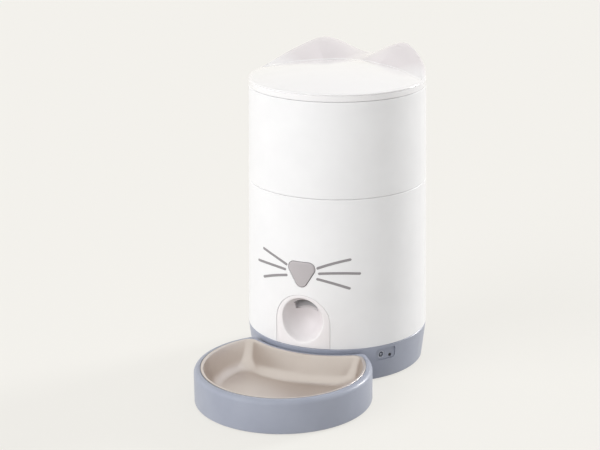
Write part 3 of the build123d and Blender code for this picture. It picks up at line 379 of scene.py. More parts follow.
def circuitBoard():
    paint = Paint("circuitBoard")
    cells = paint.node("ShaderNodeTexVoronoi", {"feature": "DISTANCE_TO_EDGE"},
                       {"Vector": paint.place, "Scale": board["trackScale"]})
    pads = paint.node("ShaderNodeTexVoronoi", {"feature": "F1"},
                      {"Vector": paint.place, "Scale": board["padScale"]})
    tracks = cells < board["trackWidth"]
    dots = pads < board["padWidth"]
    mask = paint.mix(tracks, rgb(*board["mask"]), rgb(*board["track"]))
    return paint.finish(
        colour=paint.mix(dots, mask, rgb(*board["pad"])), rough=board["rough"] - board["padGloss"] * dots,
        metal=board["padMetal"] * dots, coat=board["coat"], coatRough=board["coatRough"],
        normal=paint.bump(tracks + dots, board["depth"], board["strength"]))


finish["circuitBoard"] = circuitBoard()
print("finishes ready:", len(finish))


# tools that make meshes

def tidyMesh(mesh, smooth=32.0):
    bm = bmesh.new()
    bm.from_mesh(mesh)
    bmesh.ops.remove_doubles(bm, verts=bm.verts, dist=2e-6)
    bmesh.ops.dissolve_degenerate(bm, edges=bm.edges, dist=1e-6)
    bmesh.ops.recalc_face_normals(bm, faces=bm.faces)
    bm.to_mesh(mesh)
    bm.free()
    mesh.shade_smooth()
    mesh.set_sharp_from_angle(angle=math.radians(smooth))
    return mesh


def rawPiece(name, verts, faces, smooth=32.0):
    # verts in millimetres about the tower's axis
    mesh = bpy.data.meshes.new(name)
    mesh.from_pydata([(x * mm, (y + axisY) * mm, z * mm) for x, y, z in verts], [], faces)
    tidyMesh(mesh, smooth)
    made = bpy.data.objects.new(name, mesh)
    bpy.context.scene.collection.objects.link(made)
    return made


def settle(made, material, body, slot, *replaced):
    made.data.materials.clear()
    made.data.materials.append(finish[material])
    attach(made, body)
    if replaced:
        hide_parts(*replaced)
    return made


def baked(made, smooth=32.0):
    # the object with its modifiers made into a plain mesh
    bpy.context.view_layer.update()
    graph = bpy.context.evaluated_depsgraph_get()
    mesh = bpy.data.meshes.new_from_object(made.evaluated_get(graph))
    made.modifiers.clear()
    made.data = mesh
    mesh.name = made.name
    tidyMesh(mesh, smooth)
    return made


def gridFaces(rows, columns):
    # the faces between closed loops that lie one after the other
    faces = []
    for i in range(rows - 1):
        here, after = i * columns, (i + 1) * columns
        for j in range(columns):
            k = (j + 1) % columns
            faces.append((here + j, here + k, after + k, after + j))
    return faces


def rounded(points, radius, steps=6):
    # a closed outline with an arc of the given radius at each corner
    smoothed = []
    for i, here in enumerate(points):
        corner = Vector(here)
        before = Vector(points[i - 1]) - corner
        after = Vector(points[(i + 1) % len(points)]) - corner
        half = before.angle(after) / 2
        cut = radius / math.tan(half)
        start = corner + before.normalized() * cut
        end = corner + after.normalized() * cut
        centre = corner + (before.normalized() + after.normalized()).normalized() * radius / math.sin(half)
        first = math.atan2(*(start - centre).yx)
        swing = math.atan2(*(end - centre).yx) - first
        swing = (swing + math.pi) % (2 * math.pi) - math.pi
        for k in range(steps + 1):
            turn = first + swing * k / steps
            smoothed.append((centre.x + radius * math.cos(turn), centre.y + radius * math.sin(turn)))
    return smoothed


def quarter(steps):
    # the turns of a quarter circle, from none to the whole
    return [math.pi / (2 * steps) * k for k in range(steps + 1)]


def reach(outline, centre, turn):
    # distance from the centre to a closed (x, z) outline in one direction
    dx, dz = math.sin(turn), math.cos(turn)
    best = 0.0
    for i, (ax, az) in enumerate(outline):
        bx, bz = outline[i - 1]
        ax, az, bx, bz = ax - centre[0], az - centre[1], bx - centre[0], bz - centre[1]
        ex, ez = bx - ax, bz - az
        cross = dx * ez - dz * ex
        if abs(cross) < 1e-9:
            continue
        far = (ax * ez - az * ex) / cross
        along = (ax * dz - az * dx) / cross
        if -1e-9 <= along <= 1 + 1e-9 and far > best:
            best = far
    return best


def stacked(name, rings, smooth=32.0):
    # loops of equal count joined in order, with flat caps on the first and the last
    count = len(rings[0])
    verts = [v for ring in rings for v in ring]
    faces = gridFaces(len(rings), count)
    faces.append(tuple(range(count)))
    faces.append(tuple((len(rings) - 1) * count + k for k in range(count)))
    return rawPiece(name, verts, faces, smooth)


def cutAway(made, tools, smooth=32.0):
    for tool in tools:
        cut = made.modifiers.new("cut", "BOOLEAN")
        cut.operation = "DIFFERENCE"
        cut.solver = "EXACT"
        cut.object = tool
    baked(made, smooth)
    for tool in tools:
        bpy.data.objects.remove(tool)
    return made


# lid with two ears

lid = {
    "footZ": 304.8, "edgeZ": 311.8, "shoulderZ": 313.2, "crownZ": 324.0, "edgeR": 3.0,
    "saddleZ": 320.6, "tipZ": 338.8, "tipAngle": 34.0, "endZ": 311.0, "endAngle": 90.0,
    "tipPower": 0.8, "endPower": 1.2,
    # the crease between dome and ears: radius behind, and how it opens sideways, by angle from the back
    "creaseR": 49.0, "creaseSpread": 40.0, "creaseFrom": 40.0, "creaseOver": 50.0, "creasePower": 1.2,
    "creaseMaxR": 86.0,
    "ridgeR": 88.0, "ridgeDrop": 6.0, "earInset": 0.2,
    # the ears' softness: averaging of the skyline, easing at no height, and where blends start and are full
    "tipSteps": 8, "tipWidth": 4.0, "tipAngleStep": 1.5,
    "easing": 0.6, "easingDrop": 0.02, "earBlend": (0.2, 7.0), "endBlend": (92.0, 84.0), "slopeBlend": 2.5,
    "grooveDepth": 0.9, "grooveH": 1.8,
    "wallBlend": 0.6, "footChamfer": 0.2, "roofDrop": 1.5,
    "columns": 360, "domeSteps": 24, "domePower": 0.9, "slopeSteps": 14, "ridgeSteps": 10, "grooveSteps": 6,
    "wallSteps": 7, "roofSteps": 8, "sharp": 20.0,
}


def lidBall():
    # radius of the dome
    rim = towerR(lid["edgeZ"]) - lid["edgeR"]
    rise = lid["crownZ"] - lid["shoulderZ"]
    return (rim * rim + rise * rise) / (2 * rise)


def domeZ(r):
    ball = lidBall()
    return lid["crownZ"] - ball + math.sqrt(ball * ball - r * r)


def ridgeZ(back):
    # the ears' skyline by angle from the back, in degrees
    if back <= lid["tipAngle"]:
        rise = lid["tipZ"] - lid["saddleZ"]
        climb = (1 - math.cos(math.pi * back / lid["tipAngle"])) / 2
        return lid["saddleZ"] + rise * climb ** lid["tipPower"]
    share = min((back - lid["tipAngle"]) / (lid["endAngle"] - lid["tipAngle"]), 1.0)
    return lid["endZ"] + (lid["tipZ"] - lid["endZ"]) * (1 - share) ** lid["endPower"]


def softRidge(back):
    # rounds the tips, where the rising and the falling curve meet
    total = 0.0
    weights = 0.0
    for k in range(-lid["tipSteps"], lid["tipSteps"] + 1):
        weight = math.exp(-(k / lid["tipWidth"]) ** 2)
        total += weight * ridgeZ(abs(back + k * lid["tipAngleStep"]))
        weights += weight
    return total / weights


def lidSection(back):
    # outline from the crown out and down to the wall at one angle from the back
    rim = towerR(lid["edgeZ"])
    shoulder = rim - lid["edgeR"]
    spread = max(0.0, abs(back) - lid["creaseFrom"]) / lid["creaseOver"]
    crease = min(lid["creaseR"] + lid["creaseSpread"] * spread ** lid["creasePower"], lid["creaseMaxR"])
    above = softRidge(abs(back)) - domeZ(shoulder)
    above = (above + math.sqrt(above * above + lid["easing"])) / 2 - lid["easingDrop"]
    share = smoothStep(*lid["earBlend"], above)
    ridge = lerp(shoulder, lid["ridgeR"], share)
    top = domeZ(ridge) + above * smoothStep(*lid["endBlend"], abs(back))
    drop = lerp(lid["shoulderZ"] - lid["edgeZ"], lid["ridgeDrop"], share)
    points = []
    steps = lid["domeSteps"]
    for k in range(1, steps + 1):
        r = crease * (k / steps) ** lid["domePower"]
        points.append((r, domeZ(r)))
    foot = domeZ(crease)
    steps = lid["slopeSteps"]
    for k in range(1, steps + 1):
        t = k / steps
        r = lerp(crease, ridge, t)
        slope = foot + (top - foot) * math.sin(math.pi / 2 * t)
        points.append((r, lerp(domeZ(r), slope, smoothStep(0.0, lid["slopeBlend"], above))))
    outerR = rim - lid["earInset"] * share
    slope = shoulder / (domeZ(shoulder) - lid["crownZ"] + lidBall())
    start = math.atan(slope) * (1 - share)
    steps = lid["ridgeSteps"]
    for k in range(1, steps + 1):
        turn = lerp(start, math.pi / 2, k / steps)
        out = (math.sin(turn) - math.sin(start)) / (1 - math.sin(start))
        down = (math.cos(start) - math.cos(turn)) / math.cos(start)
        points.append((lerp(ridge, outerR, out), top - drop * down))
    low = top - drop
    steps = lid["grooveSteps"]
    for k in range(1, steps + 1):
        dent = lid["grooveDepth"] * math.sin(math.pi * k / steps) * (1 - share)
        points.append((outerR - dent, low - lid["grooveH"] * k / steps))
    return points, outerR, low - lid["grooveH"]


def makeLid():
    rows = []
    columns = lid["columns"]
    bottom = lid["footZ"]
    footR = towerR(bottom)
    innerR = footR - tower["wall"]
    chamfer = lid["footChamfer"]
    for j in range(columns):
        back = (360.0 * j / columns + 180.0) % 360.0 - 180.0
        points, outerR, wallTop = lidSection(back)
        for k in range(1, lid["wallSteps"] + 1):
            down = k / lid["wallSteps"]
            z = lerp(wallTop, bottom + tower["bevel"], down)
            points.append((lerp(outerR, towerR(z), smoothStep(0.0, lid["wallBlend"], down)), z))
        points += [(footR - chamfer, bottom + chamfer), (footR - tower["bevel"], bottom),
                   (innerR, bottom), (innerR, lid["edgeZ"] - lid["roofDrop"])]
        for k in range(1, lid["roofSteps"]):
            inner = innerR * (1 - k / lid["roofSteps"])
            points.append((inner, domeZ(inner) - tower["wall"]))
        rows.append((math.radians(back), points))
    count = len(rows[0][1])
    verts = []
    for k in range(count):
        for back, points in rows:
            r, z = points[k]
            verts.append((r * math.sin(back), r * math.cos(back), z))
    faces = gridFaces(count, columns)
    crown = len(verts)
    verts.append((0, 0, lid["crownZ"]))
    verts.append((0, 0, lid["crownZ"] - tower["wall"]))
    last = (count - 1) * columns
    for j in range(columns):
        faces.append((crown, (j + 1) % columns, j))
        faces.append((crown + 1, last + j, last + (j + 1) % columns))
    made = rawPiece("eared_lid", verts, faces, lid["sharp"])
    finish["lidWhitePaintedShade"] = lidPaint()
    return settle(made, "lidWhitePaintedShade", "lid", "white_gloss", "lid_shell")


makeLid()
print("lid made")


# arched panel with its scoop, as rings about the scoop's middle

panel = {
    "half": 30.65, "archZ": 67.0, "lowZ": 40.35, "scoopZ": 70.0,
    "ballR": 24.4, "ballY": -101.946, "ballWall": 2.0, "lipSoftness": 1.3,
    "edge": 0.5, "flange": 2.5, "flangeT": 1.6, "flangeLowZ": 43.4,
    "backEdge": 0.4, "backInset": 0.9, "backLimit": 1.0, "backR": 26.6, "flangeStep": 0.05, "slopeFrom": 0.94,
    # (y, z) corners of the space that is cut away for the chute, and half its width
    "chute": [(-61.0, 147.0), (-88.0, 104.0), (-88.0, 77.0), (-79.5, 77.0), (-60.0, 110.0)],
    "chuteHalf": 13.0,
    # radii of the rings about the scoop's middle, closer where its lip turns
    "rings": [0.4, 2, 4, 6, 8, 10, 12, 14, 16, 18, 19.5, 21, 22, 22.8, 23.4, 24, 24.6, 25.2, 26],
    "columns": 300, "archStep": 3, "edgeSteps": 4, "sharp": 30.0,
}


def smoothMax(a, b, soft):
    return (a + b + math.sqrt((a - b) ** 2 + soft * soft)) / 2


def ballDepth(rho, radius):
    # the ball's inner face, carried on as a straight slope near its widest ring
    turn = radius * panel["slopeFrom"]
    if rho <= turn:
        return panel["ballY"] + math.sqrt(radius ** 2 - rho ** 2)
    level = math.sqrt(radius ** 2 - turn ** 2)
    return panel["ballY"] + level - (rho - turn) * turn / level


def panelY(x, z, behind):
    rho = math.hypot(x, z - panel["scoopZ"])
    radius = panel["ballR"] + (panel["ballWall"] if behind else 0.0)
    return smoothMax(faceY(x, z) + behind, ballDepth(rho, radius), panel["lipSoftness"])


def makePanel():
    half, archZ, low = panel["half"], panel["archZ"], panel["lowZ"]
    arch = [math.radians(a) for a in range(-90, 91, panel["archStep"])]
    outline = [(half * math.sin(a), archZ + half * math.cos(a)) for a in arch]
    outline += [(half, low), (-half, low)]
    centre = (0.0, panel["scoopZ"])
    corner = math.atan2(half, low - panel["scoopZ"])
    turns = sorted([2 * math.pi * k / panel["columns"] for k in range(panel["columns"])]
                   + [corner, 2 * math.pi - corner])
    far = [reach(outline, centre, turn) for turn in turns]
    radii = panel["rings"]

    def ring(distance, depth, behind=0.0):
        # depth is added behind the surface; behind is 0 on the front face and the wall on the back
        made = []
        for turn, edge in zip(turns, far):
            d = distance(edge)
            x, z = d * math.sin(turn), centre[1] + d * math.cos(turn)
            made.append((x, panelY(x, z, behind) + depth, z))
        return made

    def wider(edge, turn):
        return panel["flange"] if centre[1] + edge * math.cos(turn) > panel["flangeLowZ"] else 0.0

    e = panel["edge"]
    wall = tower["wall"]
    rings = [ring(lambda edge, r=r: r, 0.0) for r in radii]
    rings.append(ring(lambda edge: lerp(radii[-1], edge - e, 0.5), 0.0))
    for turn in quarter(panel["edgeSteps"]):
        rings.append(ring(lambda edge, turn=turn: edge - e + e * math.sin(turn), e * (1 - math.cos(turn))))
    rings.append(ring(lambda edge: edge, wall))
    for depth in (wall + panel["flangeStep"], wall + panel["flangeT"]):
        made = []
        for turn, edge in zip(turns, far):
            d = edge + wider(edge, turn)
            x, z = d * math.sin(turn), centre[1] + d * math.cos(turn)
            made.append((x, faceY(x, z) + depth, z))
        rings.append(made)
    rings.append(ring(lambda edge: edge - panel["backEdge"], wall + panel["flangeT"]))
    rings.append(ring(lambda edge: edge - panel["backInset"], 0.0, wall))
    rings += [ring(lambda edge, r=r: min(r, edge - panel["backLimit"]), 0.0, wall)
              for r in [panel["backR"]] + radii[::-1]]
    made = stacked("scoop_panel", rings, panel["sharp"])
    sides = (-panel["chuteHalf"], panel["chuteHalf"])
    tool = stacked("chute", [[(x, y, z) for y, z in panel["chute"]] for x in sides], panel["sharp"])
    cutAway(made, [tool], panel["sharp"])
    finish["panelPaintedShade"] = panelPaint()
    return settle(made, "panelPaintedShade", "housing", "white_shell", "chute_panel")


makePanel()
print("panel made")


# nose button: a soft-edged cap, its flange and stem, as rings about the stem

nose = {
    "topZ": 134.5, "pointZ": 100.4, "half": 20.6, "corner": 7.0, "proud": 0.9, "round": 1.1, "crown": 0.35,
    "play": 0.25, "gap": 0.35, "flange": 2.4, "flangeT": 1.6, "stemR": 1.6, "stemZ": 124.0, "stemEndY": -87.2,
    "rings": (0.04, 0.25, 0.5, 0.75, 0.9, 1.0), "columns": 240, "cornerSteps": 14, "roundSteps": 6,
    "sharp": 30.0,
}


def makeNose():
    outline = rounded([(-nose["half"], nose["topZ"]), (nose["half"], nose["topZ"]), (0.0, nose["pointZ"])],
                      nose["corner"], nose["cornerSteps"])
    centre = (0.0, nose["stemZ"])
    turns = [2 * math.pi * k / nose["columns"] for k in range(nose["columns"])]
    far = [reach(outline, centre, turn) - nose["play"] for turn in turns]

    def ring(share, extra, depth):
        # share of the way to the outline, plus extra millimetres, at a depth behind the proud face
        made = []
        for turn, edge in zip(turns, far):
            d = edge * share + extra
            x, z = d * math.sin(turn), centre[1] + d * math.cos(turn)
            bulge = nose["crown"] * max(1 - (d / edge) ** 2, 0.0)
            made.append((x, faceY(x, z, nose["proud"]) + depth - bulge, z))
        return made

    r = nose["round"]
    rings = [ring(share, -r * share, 0.0) for share in nose["rings"]]
    for turn in quarter(nose["roundSteps"])[1:]:
        rings.append(ring(1.0, -r + r * math.sin(turn), r * (1 - math.cos(turn))))
    front = nose["proud"] + tower["wall"] + nose["gap"]
    back = front + nose["flangeT"]
    stemR = nose["stemR"]
    rings += [ring(1.0, 0.0, front), ring(1.0, nose["flange"], front), ring(1.0, nose["flange"], back)]
    for y in (faceY(0.0, nose["stemZ"], nose["proud"]) + back, nose["stemEndY"]):
        rings.append([(stemR * math.sin(t), y, centre[1] + stemR * math.cos(t)) for t in turns])
    made = stacked("nose_button", rings, nose["sharp"])
    return settle(made, "noseGrey", "feed_button", "nose_grey", "feed_button")


makeNose()
print("nose made")


# crescent tray and pressed steel dish, as rings inset from their outlines

tray = {
    "centreY": -143.5, "frontR": 92.0, "backR": 100.0, "cornerR": 6.0,
    "footZ": 1.5, "topZ": 37.0, "footRound": 1.2, "topRound": 5.2, "wall": 2.4, "floorT": 2.5, "topT": 3.0,
    "seatDepth": 0.9, "dishFit": 0.5, "seatWidth": 1.9, "seatChamfer": (0.3, 0.25), "floorChamfer": 1.0,
    "tongueHalf": 22.0, "tongueZ": 6.0, "tongueT": 3.0, "tongueY": (-101.2, -80.0),
    "footSteps": 4, "topSteps": 10, "sharp": 35.0,
}
dish = {
    "frontR": 85.0, "backR": 106.5, "cornerR": 11.0, "innerCornerR": 15.0,
    "topZ": 37.3, "sheet": 0.9, "lip": 1.5, "lipRound": 1.8, "slope": 3.0, "floorZ": 10.3, "floorRound": 13.0,
    # how far in the corners have grown to the inner radius
    "cornerBlend": (1.0, 14.0),
    "floorSteps": 12, "wallSteps": 6, "lipSteps": 8, "edgeSteps": 6, "sharp": 40.0,
}
loop = {"front": 96, "corner": 16, "back": 72, "leastCornerR": 0.6}


def crescent(frontR, backR, cornerR, z):
    # a closed line: the front arc, a corner, the hollow back and the other corner
    far = -tray["centreY"]
    a, b = frontR - cornerR, backR + cornerR
    y = (a * a - b * b - far * far) / (2 * far)
    x = math.sqrt(b * b - y * y)
    rise = math.atan2(y + far, x)
    fall = math.atan2(-y, -x)
    swing = math.atan2(x, -y)
    points = []

    def arc(count, start, end):
        return [lerp(start, end, k / loop[count]) for k in range(loop[count])]

    for turn in arc("front", math.pi - rise - 2 * math.pi, rise):
        points.append((frontR * math.cos(turn), -far + frontR * math.sin(turn), z))
    for turn in arc("corner", rise, fall):
        points.append((x + cornerR * math.cos(turn), y + cornerR * math.sin(turn), z))
    for turn in arc("back", swing, -swing):
        points.append((backR * math.sin(turn), -backR * math.cos(turn), z))
    for turn in arc("corner", math.pi - fall, math.pi - rise):
        points.append((-x + cornerR * math.cos(turn), y + cornerR * math.sin(turn), z))
    return points


def trayRing(inset, z):
    corner = max(tray["cornerR"] - inset, loop["leastCornerR"])
    return crescent(tray["frontR"] - inset, tray["backR"] + inset, corner, z)


def dishRing(inset, z):
    plain = max(dish["cornerR"] - inset, loop["leastCornerR"])
    corner = lerp(plain, dish["innerCornerR"], smoothStep(*dish["cornerBlend"], inset))
    return crescent(dish["frontR"] - inset, dish["backR"] + inset, corner, z)


def makeTray():
    t, low, top = tray, tray["footZ"], tray["topZ"]
    rings = []
    for turn in quarter(t["footSteps"]):
        inset, rise = t["footRound"] * (1 - math.sin(turn)), t["footRound"] * (1 - math.cos(turn))
        rings.append(trayRing(inset, low + rise))
    for turn in quarter(t["topSteps"]):
        inset, fall = t["topRound"] * (1 - math.cos(turn)), t["topRound"] * (1 - math.sin(turn))
        rings.append(trayRing(inset, top - fall))
    seat, under, floor = top - t["seatDepth"], top - t["topT"], low + t["floorT"]
    fit, wall, ease = t["dishFit"], t["wall"], t["floorChamfer"]
    across, down = t["seatChamfer"]
    rings += [dishRing(-fit - across, top), dishRing(-fit, top - down), dishRing(-fit, seat),
              dishRing(t["seatWidth"], seat), dishRing(t["seatWidth"], under),
              trayRing(wall, under), trayRing(wall, floor + ease), trayRing(wall + ease, floor)]
    made = stacked("crescent_tray", rings, t["sharp"])
    half, (front, back) = t["tongueHalf"], t["tongueY"]
    corners = [(-half, front), (half, front), (half, back), (-half, back)]
    levels = (t["tongueZ"], t["tongueZ"] + t["tongueT"])
    tongue = stacked("tongue", [[(x, y, z) for x, y in corners] for z in levels])
    join = made.modifiers.new("join", "BOOLEAN")
    join.operation = "UNION"
    join.solver = "EXACT"
    join.object = tongue
    baked(made, t["sharp"])
    bpy.data.objects.remove(tongue)
    return settle(made, "greyBase", "tray", "grey_base", "bowl_tray")


def dishProfile():
    # inner face from the floor up to the lip, as (inset, height, inset part and height part of its normal)
    d = dish
    lean = math.atan(d["slope"])
    arcZ = d["topZ"] - d["lipRound"]
    wallInset = d["lip"] + d["lipRound"] * math.sin(lean)
    wallZ = arcZ + d["lipRound"] * math.cos(lean)
    level = d["floorZ"] + d["floorRound"]
    bendZ = level - d["floorRound"] * math.cos(lean)
    bendInset = wallInset + (wallZ - bendZ) / d["slope"]
    middle = bendInset + d["floorRound"] * math.sin(lean)
    points = []
    for k in range(d["floorSteps"] + 1):
        turn = lean * k / d["floorSteps"]
        points.append((middle - d["floorRound"] * math.sin(turn), level - d["floorRound"] * math.cos(turn),
                       math.sin(turn), math.cos(turn)))
    for k in range(1, d["wallSteps"]):
        share = k / d["wallSteps"]
        points.append((lerp(bendInset, wallInset, share), lerp(bendZ, wallZ, share),
                       math.sin(lean), math.cos(lean)))
    for k in range(d["lipSteps"] + 1):
        turn = lean * (1 - k / d["lipSteps"])
        points.append((d["lip"] + d["lipRound"] * math.sin(turn), arcZ + d["lipRound"] * math.cos(turn),
                       math.sin(turn), math.cos(turn)))
    return points


def makeDish():
    points = dishProfile()
    inner = [dishRing(i, z) for i, z, _, _ in points]
    outer = [dishRing(i - dish["sheet"] * across, z - dish["sheet"] * up) for i, z, across, up in points]
    low = dish["topZ"] - dish["sheet"]
    half = dish["sheet"] / 2
    edge = []
    for k in range(dish["edgeSteps"] + 1):
        turn = math.pi / 2 - math.pi / dish["edgeSteps"] * k
        edge.append(dishRing(half - half * math.cos(turn), low + half + half * math.sin(turn)))
    made = stacked("pressed_dish", inner + edge + outer[::-1], dish["sharp"])
    return settle(made, "dishSteel", "dish", "dish_steel", "steel_dish")


makeTray()
makeDish()
print("tray and dish made")


# what repeats: screws, rubber feet and rotor vanes, from node trees

screws = {
    # pitch radius, angles from the front towards +X, height of the head's face, shank, and the turn that puts
    # the head below (0) or on top (pi)
    "base_screws": {"r": 84.0, "angles": (27.0, 135.0, 225.0, 333.0), "z": 1.5, "shank": 9.8, "turn": 0.0},
    "joint_screws": {"r": 87.5, "angles": (75.0, 165.0, 195.0, 285.0), "z": 35.2, "shank": 13.0, "turn": 0.0},
    "deck_screws": {"r": 89.1, "angles": (50.0, 130.0, 230.0, 310.0), "z": 154.8, "shank": 10.0,
                    "turn": math.pi},
}
screwSize = {
    "head": 2.9, "headH": 1.8, "shank": 1.5, "slot": 0.55, "slotLength": 3.4, "slotDepth": 1.0,
    # the head's bevelled part narrows to this share of its radius over this share of its height
    "brimR": 0.86, "brimH": 0.3, "headSides": 40, "shankSides": 32,
}
feet = {
    "base_feet": {"r": 7.0, "h": 1.5, "body": "housing",
                  "places": [(72.0, a) for a in (50.0, 130.0, 230.0, 310.0)]},
    "tray_feet": {"r": 6.0, "h": 1.5, "body": "tray",
                  "places": [(219.5, 0.0), (131.49, 26.175), (131.49, -26.175)]},
}
footEdge = {"radius": 0.3, "steps": 3, "sides": 64}
vanes = {
    "count": 6, "hubR": 14.0, "sleeve": 2.0, "tipR": 64.5, "root": 2.4, "tip": 1.3, "lowZ": 154.5, "h": 24.0,
    "curl": 3.0, "cuts": (22, 3, 5), "sides": 72,
}


def around(radius, angle, z):
    turn = math.radians(angle)
    return radius * math.sin(turn), -radius * math.cos(turn), z


def screwTree(shank, turn):
    size = screwSize
    tree = Shape("screw", HeadRadius=size["head"] * mm, HeadHeight=size["headH"] * mm,
                 ShankRadius=size["shank"] * mm, ShankLength=shank * mm, SlotWidth=size["slot"] * mm,
                 SlotLength=size["slotLength"] * mm, SlotDepth=size["slotDepth"] * mm, Turn=turn,
                 Material=finish["platedSteel"])
    given = tree.given
    high = given["HeadHeight"]
    brim = tree.node("GeometryNodeMeshCone", {}, {
        "Vertices": size["headSides"], "Radius Top": given["HeadRadius"],
        "Radius Bottom": given["HeadRadius"] * size["brimR"], "Depth": high * size["brimH"]})
    head = tree.node("GeometryNodeMeshCylinder", {}, {
        "Vertices": size["headSides"], "Radius": given["HeadRadius"], "Depth": high * (1 - size["brimH"])})
    lifted = tree.raised(head, high * (size["brimH"] + (1 - size["brimH"]) / 2))
    both = tree.node("GeometryNodeMeshBoolean", {"operation": "UNION", "solver": "EXACT"}, {1: brim})
    tree.join(lifted, both)
    # the shank starts half way up the head
    stem = tree.node("GeometryNodeMeshCylinder", {}, {
        "Vertices": size["shankSides"], "Radius": given["ShankRadius"],
        "Depth": given["ShankLength"] + high * 0.5})
    tree.join(tree.raised(stem, high * 0.75 + given["ShankLength"] * 0.5), both)
    bar = tree.node("ShaderNodeCombineXYZ", {}, {
        "X": given["SlotLength"], "Y": given["SlotWidth"], "Z": given["SlotDepth"] * 2.0})
    cross = tree.node("ShaderNodeCombineXYZ", {}, {
        "X": given["SlotWidth"], "Y": given["SlotLength"], "Z": given["SlotDepth"] * 2.0})
    cut = tree.node("GeometryNodeMeshBoolean", {"operation": "DIFFERENCE", "solver": "EXACT"}, {0: both})
    for size3 in (bar, cross):
        tree.join(tree.node("GeometryNodeMeshCube", {}, {"Size": size3}), cut)
    turned = tree.node("GeometryNodeTransform", {}, {
        "Geometry": cut, "Rotation": tree.node("ShaderNodeCombineXYZ", {}, {"X": given["Turn"]})})
    points = tree.node("GeometryNodeInstanceOnPoints", {}, {"Points": given["Geometry"], "Instance": turned})
    return tree.end(points)


def footTree(radius, height):
    tree = Shape("foot", Radius=radius * mm, Height=height * mm, Edge=footEdge["radius"] * mm,
                 Material=finish["footRubber"])
    given = tree.given
    path = tree.node("GeometryNodeCurvePrimitiveCircle", {"mode": "RADIUS"}, {
        "Resolution": footEdge["sides"], "Radius": given["Radius"] * 0.5})
    outline = tree.node("GeometryNodeCurvePrimitiveQuadrilateral", {"mode": "RECTANGLE"}, {
        "Width": given["Radius"], "Height": given["Height"]})
    eased = tree.node("GeometryNodeFilletCurve", {"mode": "POLY"}, {
        "Curve": outline, "Count": footEdge["steps"], "Radius": given["Edge"]})
    disc = tree.node("GeometryNodeCurveToMesh", {}, {"Curve": path, "Profile Curve": eased})
    lifted = tree.raised(disc, given["Height"] * 0.5)
    points = tree.node("GeometryNodeInstanceOnPoints", {}, {"Points": given["Geometry"], "Instance": lifted})
    return tree.end(points)


def vaneTree():
    v = vanes
    tree = Shape("vanes", Count=v["count"], HubRadius=v["hubR"] * mm, Sleeve=v["sleeve"] * mm,
                 TipRadius=v["tipR"] * mm, Root=v["root"] * mm, Tip=v["tip"] * mm, Height=v["h"] * mm,
                 Curl=v["curl"] * mm, Material=finish["vaneSilicone"])
    given = tree.given
    start = given["HubRadius"] + given["Sleeve"] * 0.5
    length = given["TipRadius"] - start
    blade = tree.node("GeometryNodeMeshCube", {}, {
        "Size": tree.node("ShaderNodeCombineXYZ", {}, {"X": 1.0, "Y": 1.0, "Z": given["Height"]}),
        "Vertices X": v["cuts"][0], "Vertices Y": v["cuts"][1], "Vertices Z": v["cuts"][2]})
    place = tree.node("GeometryNodeInputPosition")
    apart = tree.node("ShaderNodeSeparateXYZ", {}, {0: place})
    across = Sock(tree, apart.out.node.outputs[1])
    up = Sock(tree, apart.out.node.outputs[2])
    along = apart + 0.5
    thick = given["Root"] + (given["Tip"] - given["Root"]) * along
    bent = across * thick + given["Curl"] * along * along
    shaped = tree.node("GeometryNodeSetPosition", {}, {
        "Geometry": blade,
        "Position": tree.node("ShaderNodeCombineXYZ", {}, {
            "X": start + length * along, "Y": bent, "Z": up + given["Height"] * 0.5})})
    # as many points as vanes, all but at the middle
    wheel = tree.node("GeometryNodeMeshCircle", {"fill_type": "NONE"}, {
        "Vertices": given["Count"], "Radius": 0.0001})
    index = tree.node("GeometryNodeInputIndex")
    swing = (index + 0.5) * (2 * math.pi) / given["Count"] + math.pi / 2
    spin = tree.node("ShaderNodeCombineXYZ", {}, {"Z": swing})
    spread = tree.node("GeometryNodeInstanceOnPoints", {}, {
        "Points": wheel, "Instance": shaped, "Rotation": spin})
    path = tree.node("GeometryNodeCurvePrimitiveCircle", {"mode": "RADIUS"}, {
        "Resolution": v["sides"], "Radius": start})
    band = tree.node("GeometryNodeCurvePrimitiveQuadrilateral", {"mode": "RECTANGLE"}, {
        "Width": given["Sleeve"], "Height": given["Height"]})
    sleeve = tree.node("GeometryNodeCurveToMesh", {}, {"Curve": path, "Profile Curve": band})
    raised = tree.raised(sleeve, given["Height"] * 0.5)
    real = tree.node("GeometryNodeRealizeInstances", {}, {0: spread})
    joined = tree.node("GeometryNodeMeshBoolean", {"operation": "UNION", "solver": "EXACT"}, {1: real})
    tree.join(raised, joined)
    points = tree.node("GeometryNodeInstanceOnPoints", {}, {"Points": given["Geometry"], "Instance": joined})
    return tree.end(points)


for node, plan in screws.items():
    places = [around(plan["r"], angle, plan["z"]) for angle in plan["angles"]]
    made = screwTree(plan["shank"], plan["turn"]).grow(node + "_slotted", places)
    settle(made, "platedSteel", "housing", "steel_screw", node)
for node, plan in feet.items():
    places = [around(r, angle, 0.0) for r, angle in plan["places"]]
    made = footTree(plan["r"], plan["h"]).grow(node + "_soft", places)
    settle(made, "footRubber", plan["body"], "rubber", node)
made = vaneTree().grow("soft_vanes", [(0.0, 0.0, vanes["lowZ"])])
settle(made, "vaneSilicone", "rotor", "vane_silicone", "rotor_vanes")
print("screws, feet and vanes made")


# solids that keep their shape and get a finer finish

